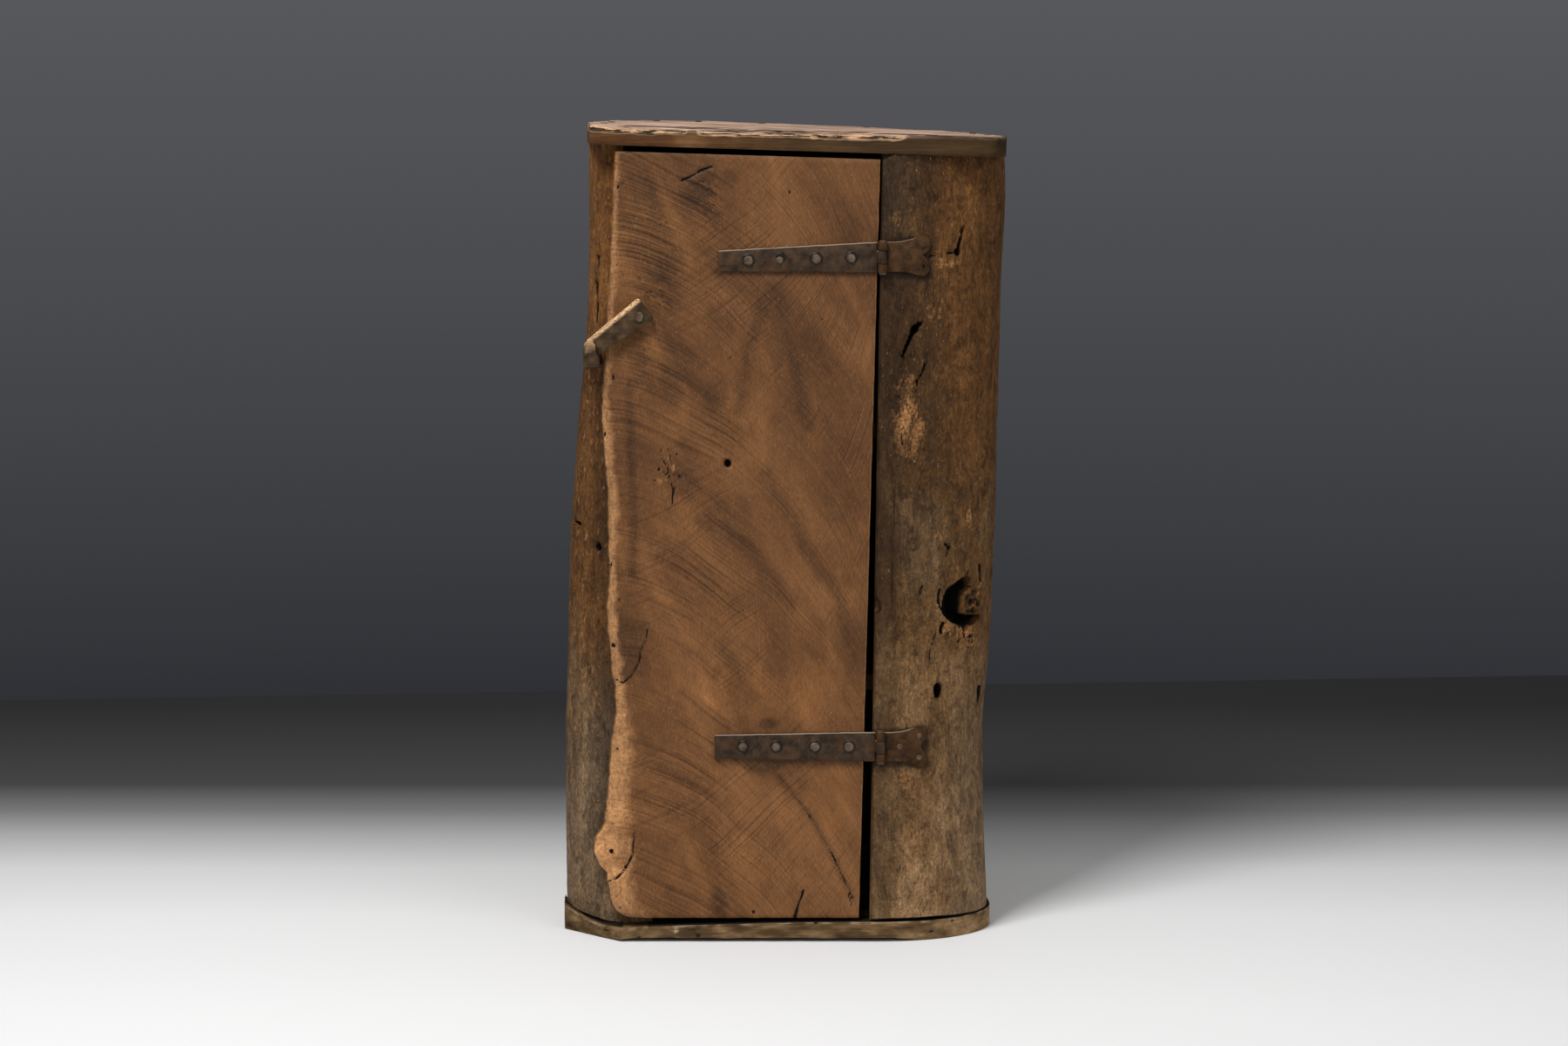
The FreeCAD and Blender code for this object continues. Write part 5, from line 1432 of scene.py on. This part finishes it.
# %% Rivets and nails
RIVETS = {  # distance from the hinge line, radius, height and sides
    "upper": ((36, 6.0, 3.6, 7), (76, 6.2, 4.0, 8), (118, 4.6, 1.9, 6), (154, 6.2, 4.0, 8)),
    "lower": ((37, 6.2, 2.0, 9), (77, 6.2, 2.2, 8), (122, 6.0, 2.8, 7), (161, 6.0, 2.8, 7)),
}
NAILS = {  # distance from the hinge line, rise from its middle, radius and height
    "upper": ((29, 1.6, 4.4, 1.3), (46.5, 13.5, 3.8, 0.9), (46.5, -10.5, 2.5, 0.4)),
    "lower": ((22, 0, 3.8, 1.2), (45, 13, 3.4, 1.0), (45, -13, 3.6, 1.2)),
}


def rivet_head(x, z, foot, height, radius, sides, seed):
    head = round_bar(radius, foot - height, foot, (x, z), "y", sides)
    for vertex in head.data.vertices:
        turn = noise.noise_vector((vertex.co.x * 900, vertex.co.z * 900, seed))
        crown = 0.82 if vertex.co.y * 1000 < foot - height / 2 else 1.0
        vertex.co.x = (x + (vertex.co.x * 1000 - x) * crown + 0.5 * turn[0]) / 1000
        vertex.co.z = (z + (vertex.co.z * 1000 - z) * crown + 0.5 * turn[1]) / 1000
    return soften(head, min(1.1, height * 0.4), 2, 30)


def strap_rivets(which):
    middle, length, above, below = HINGES[which]
    parts = []
    for k, (run, radius, height, sides) in enumerate(RIVETS[which]):
        x = HINGE_X - run
        z = middle + (above - below) / 2 * run / length
        head = rivet_head(x, z, FRONT - 2.7, height, radius, sides, k + middle)
        off = 2.6 if height < 2 and which == "upper" else 0.5
        # A dark ring round each head: painted shade; at the lost head, shifted, it is the black hole.
        shade_and_hole_ring = rivet_head(x + off * 0.7, z + off, FRONT - 2.6, 1.0, radius + 1.8, 15, k + 0.5)
        paint(shade_and_hole_ring, pit=[0.9] * len(shade_and_hole_ring.data.vertices))
        rove = soften(round_bar(7, FRONT + 21.4, FRONT + 24, (x, z), "y", 24), 0.8)
        stub = soften(round_bar(3, FRONT - 3, FRONT + 24.6, (x, z), "y", 14), 0.5)
        parts += [head, shade_and_hole_ring, rove, stub]
    settle(joined(which + "_rivets", parts), head_iron_with_highlight, "door", "iron", which + "_strap_rivets")


def leaf_nails(which, finish, lost=None):
    """Nail heads of a leaf. The lost one is only a black hole."""
    middle = HINGES[which][0]
    heads = []
    for k, (run, rise, radius, height) in enumerate(NAILS[which]):
        x = HINGE_X + run
        head = rivet_head(x, middle + rise, FRONT - 2.1 + cheek_fall(x), height, radius, 9, k + middle)
        paint(head, pit=[float(k == lost)] * len(head.data.vertices))
        heads.append(head)
    settle(joined(which + "_nails", heads), finish, "carcass", "iron", which + "_leaf_nails")


strap_rivets("upper")
strap_rivets("lower")
leaf_nails("upper", leaf_iron, lost=2)
leaf_nails("lower", head_iron_with_highlight)

# %% [markdown]
# ## Turn button and hook
# The button is a whittled piece of wood on one screw. Its upper long edge is chamfered and rubbed pale. It
# hangs down to the left behind the lip of a grey hook that is let into the trunk. Both are plates from
# their outlines: the chamfer comes from two cuts along the edge and a push.

# %% Turn button
DROOP, PIVOT, CHAMFER = math.radians(36), (-162.0, 737.5), 13.6
BUTTON_LINE = ((-12, -10.5), (-9.5, -11.6), (20, -10), (64, -7.2), (66, -6), (65.5, 13.2), (64, 13.8),
               (20, 16.6), (-9, 18.3), (-11.6, 17))


def on_button(run, side):
    """From along and across the button to x and z."""
    return (PIVOT[0] - run * math.cos(DROOP) - side * math.sin(DROOP),
            PIVOT[1] - run * math.sin(DROOP) + side * math.cos(DROOP))


def past_chamfer(vertex, taper):
    """How far across the button a point lies past the line where the chamfer starts."""
    x, z = vertex.co.x * 1000 - PIVOT[0], vertex.co.z * 1000 - PIVOT[1]
    run = -x * math.cos(DROOP) - z * math.sin(DROOP)
    return -x * math.sin(DROOP) + z * math.cos(DROOP) - (CHAMFER - run * taper)


button_line = [on_button(run, side) for run, side in BUTTON_LINE]
button = plate("button", wobble(button_line, 0.35, 8, 5.0), FRONT - 9.4, FRONT - 0.4)
bpy.ops.object.mode_set(mode="EDIT")
lean = on_button(0.058, 1)
for share in (0.3, 0.75):
    cut_across(*on_button(0, 17.0 - 7 * share), (lean[0] - PIVOT[0], 0, lean[1] - PIVOT[1]))
bpy.ops.object.mode_set(mode="OBJECT")
for vertex in button.data.vertices:
    beyond = past_chamfer(vertex, 0.055)
    if beyond > 0 and vertex.co.y < (FRONT - 5) / 1000:
        vertex.co.y += 0.0011 * min(beyond, 4.5)
soften(button, 0.9, 2, 25)
paint(button, raw=[0.8 * (past_chamfer(vertex, 0.058) > 0) for vertex in button.data.vertices])
settle(button, button_wood, "latch", "button_wood", "turn_button")

# %% Screw and hook
LIP_LINE = [(-226.2, 678.6), (-226.6, 700), (-225, 708), (-221, 710.4), (-215, 709.8), (-212.6, 706),
            (-211.8, 699), (-209.6, 693.4), (-208.4, 690), (-208.4, 679)]
screw = rivet_head(*PIVOT, FRONT - 9.5, 3.2, 6.4, 16, 3.0)
for vertex in screw.data.vertices:
    vertex.co.x = (PIVOT[0] + (vertex.co.x * 1000 - PIVOT[0]) * 0.84) / 1000
shank = round_bar(3, FRONT - 9.6, FRONT + 16, PIVOT, "y", 14)
settle(joined("screw", [screw, shank]), head_iron_with_highlight, "door", "iron", "button_screw")

lip = soften(plate("hook", wobble(LIP_LINE, 0.4, 12, 4.0), FRONT - 16.4, FRONT - 10.4), 1.2, 2, 30)
deselect()
bpy.ops.mesh.primitive_cube_add(size=1, location=(-0.2173, (FRONT + 49.5) / 1000, 0.6854))
arm = bpy.context.object
arm.scale = (0.0179, 0.1238, 0.0139)
bpy.ops.object.transform_apply(location=True, rotation=True, scale=True)
hook = joined("hook", [lip, soften(arm, 1.6, 3, 30)])
paint(hook, raw=[0.45 * (vertex.co.z > 0.7055) for vertex in hook.data.vertices])
settle(hook, button_wood, "carcass", "button_wood", "latch_keeper")

# %% [markdown]
# ## What the frame already has right
# Hinge pins, shelf pegs and the nails of the boards are plain turned or drawn pieces, and their solids are
# right as they are. They keep their shape and get a finish.

# %% Finishes for the frame's own pieces
own_finish = {
    "upper_hinge_pin": head_iron_with_highlight,
    "lower_hinge_pin": head_iron_with_highlight,
    "upper_shelf_pegs": peg_wood,
    "lower_shelf_pegs": peg_wood,
    "top_board_nails": strap_iron,
    "base_board_nails": strap_iron,
    "keeper_nail": head_iron_with_highlight,
}
for node, finish in own_finish.items():
    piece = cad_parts[node]
    if not piece.material_slots:
        piece.data.materials.append(finish)
    for material_slot in piece.material_slots:
        material_slot.material = finish
print("kept nodes:", ", ".join(own_finish))
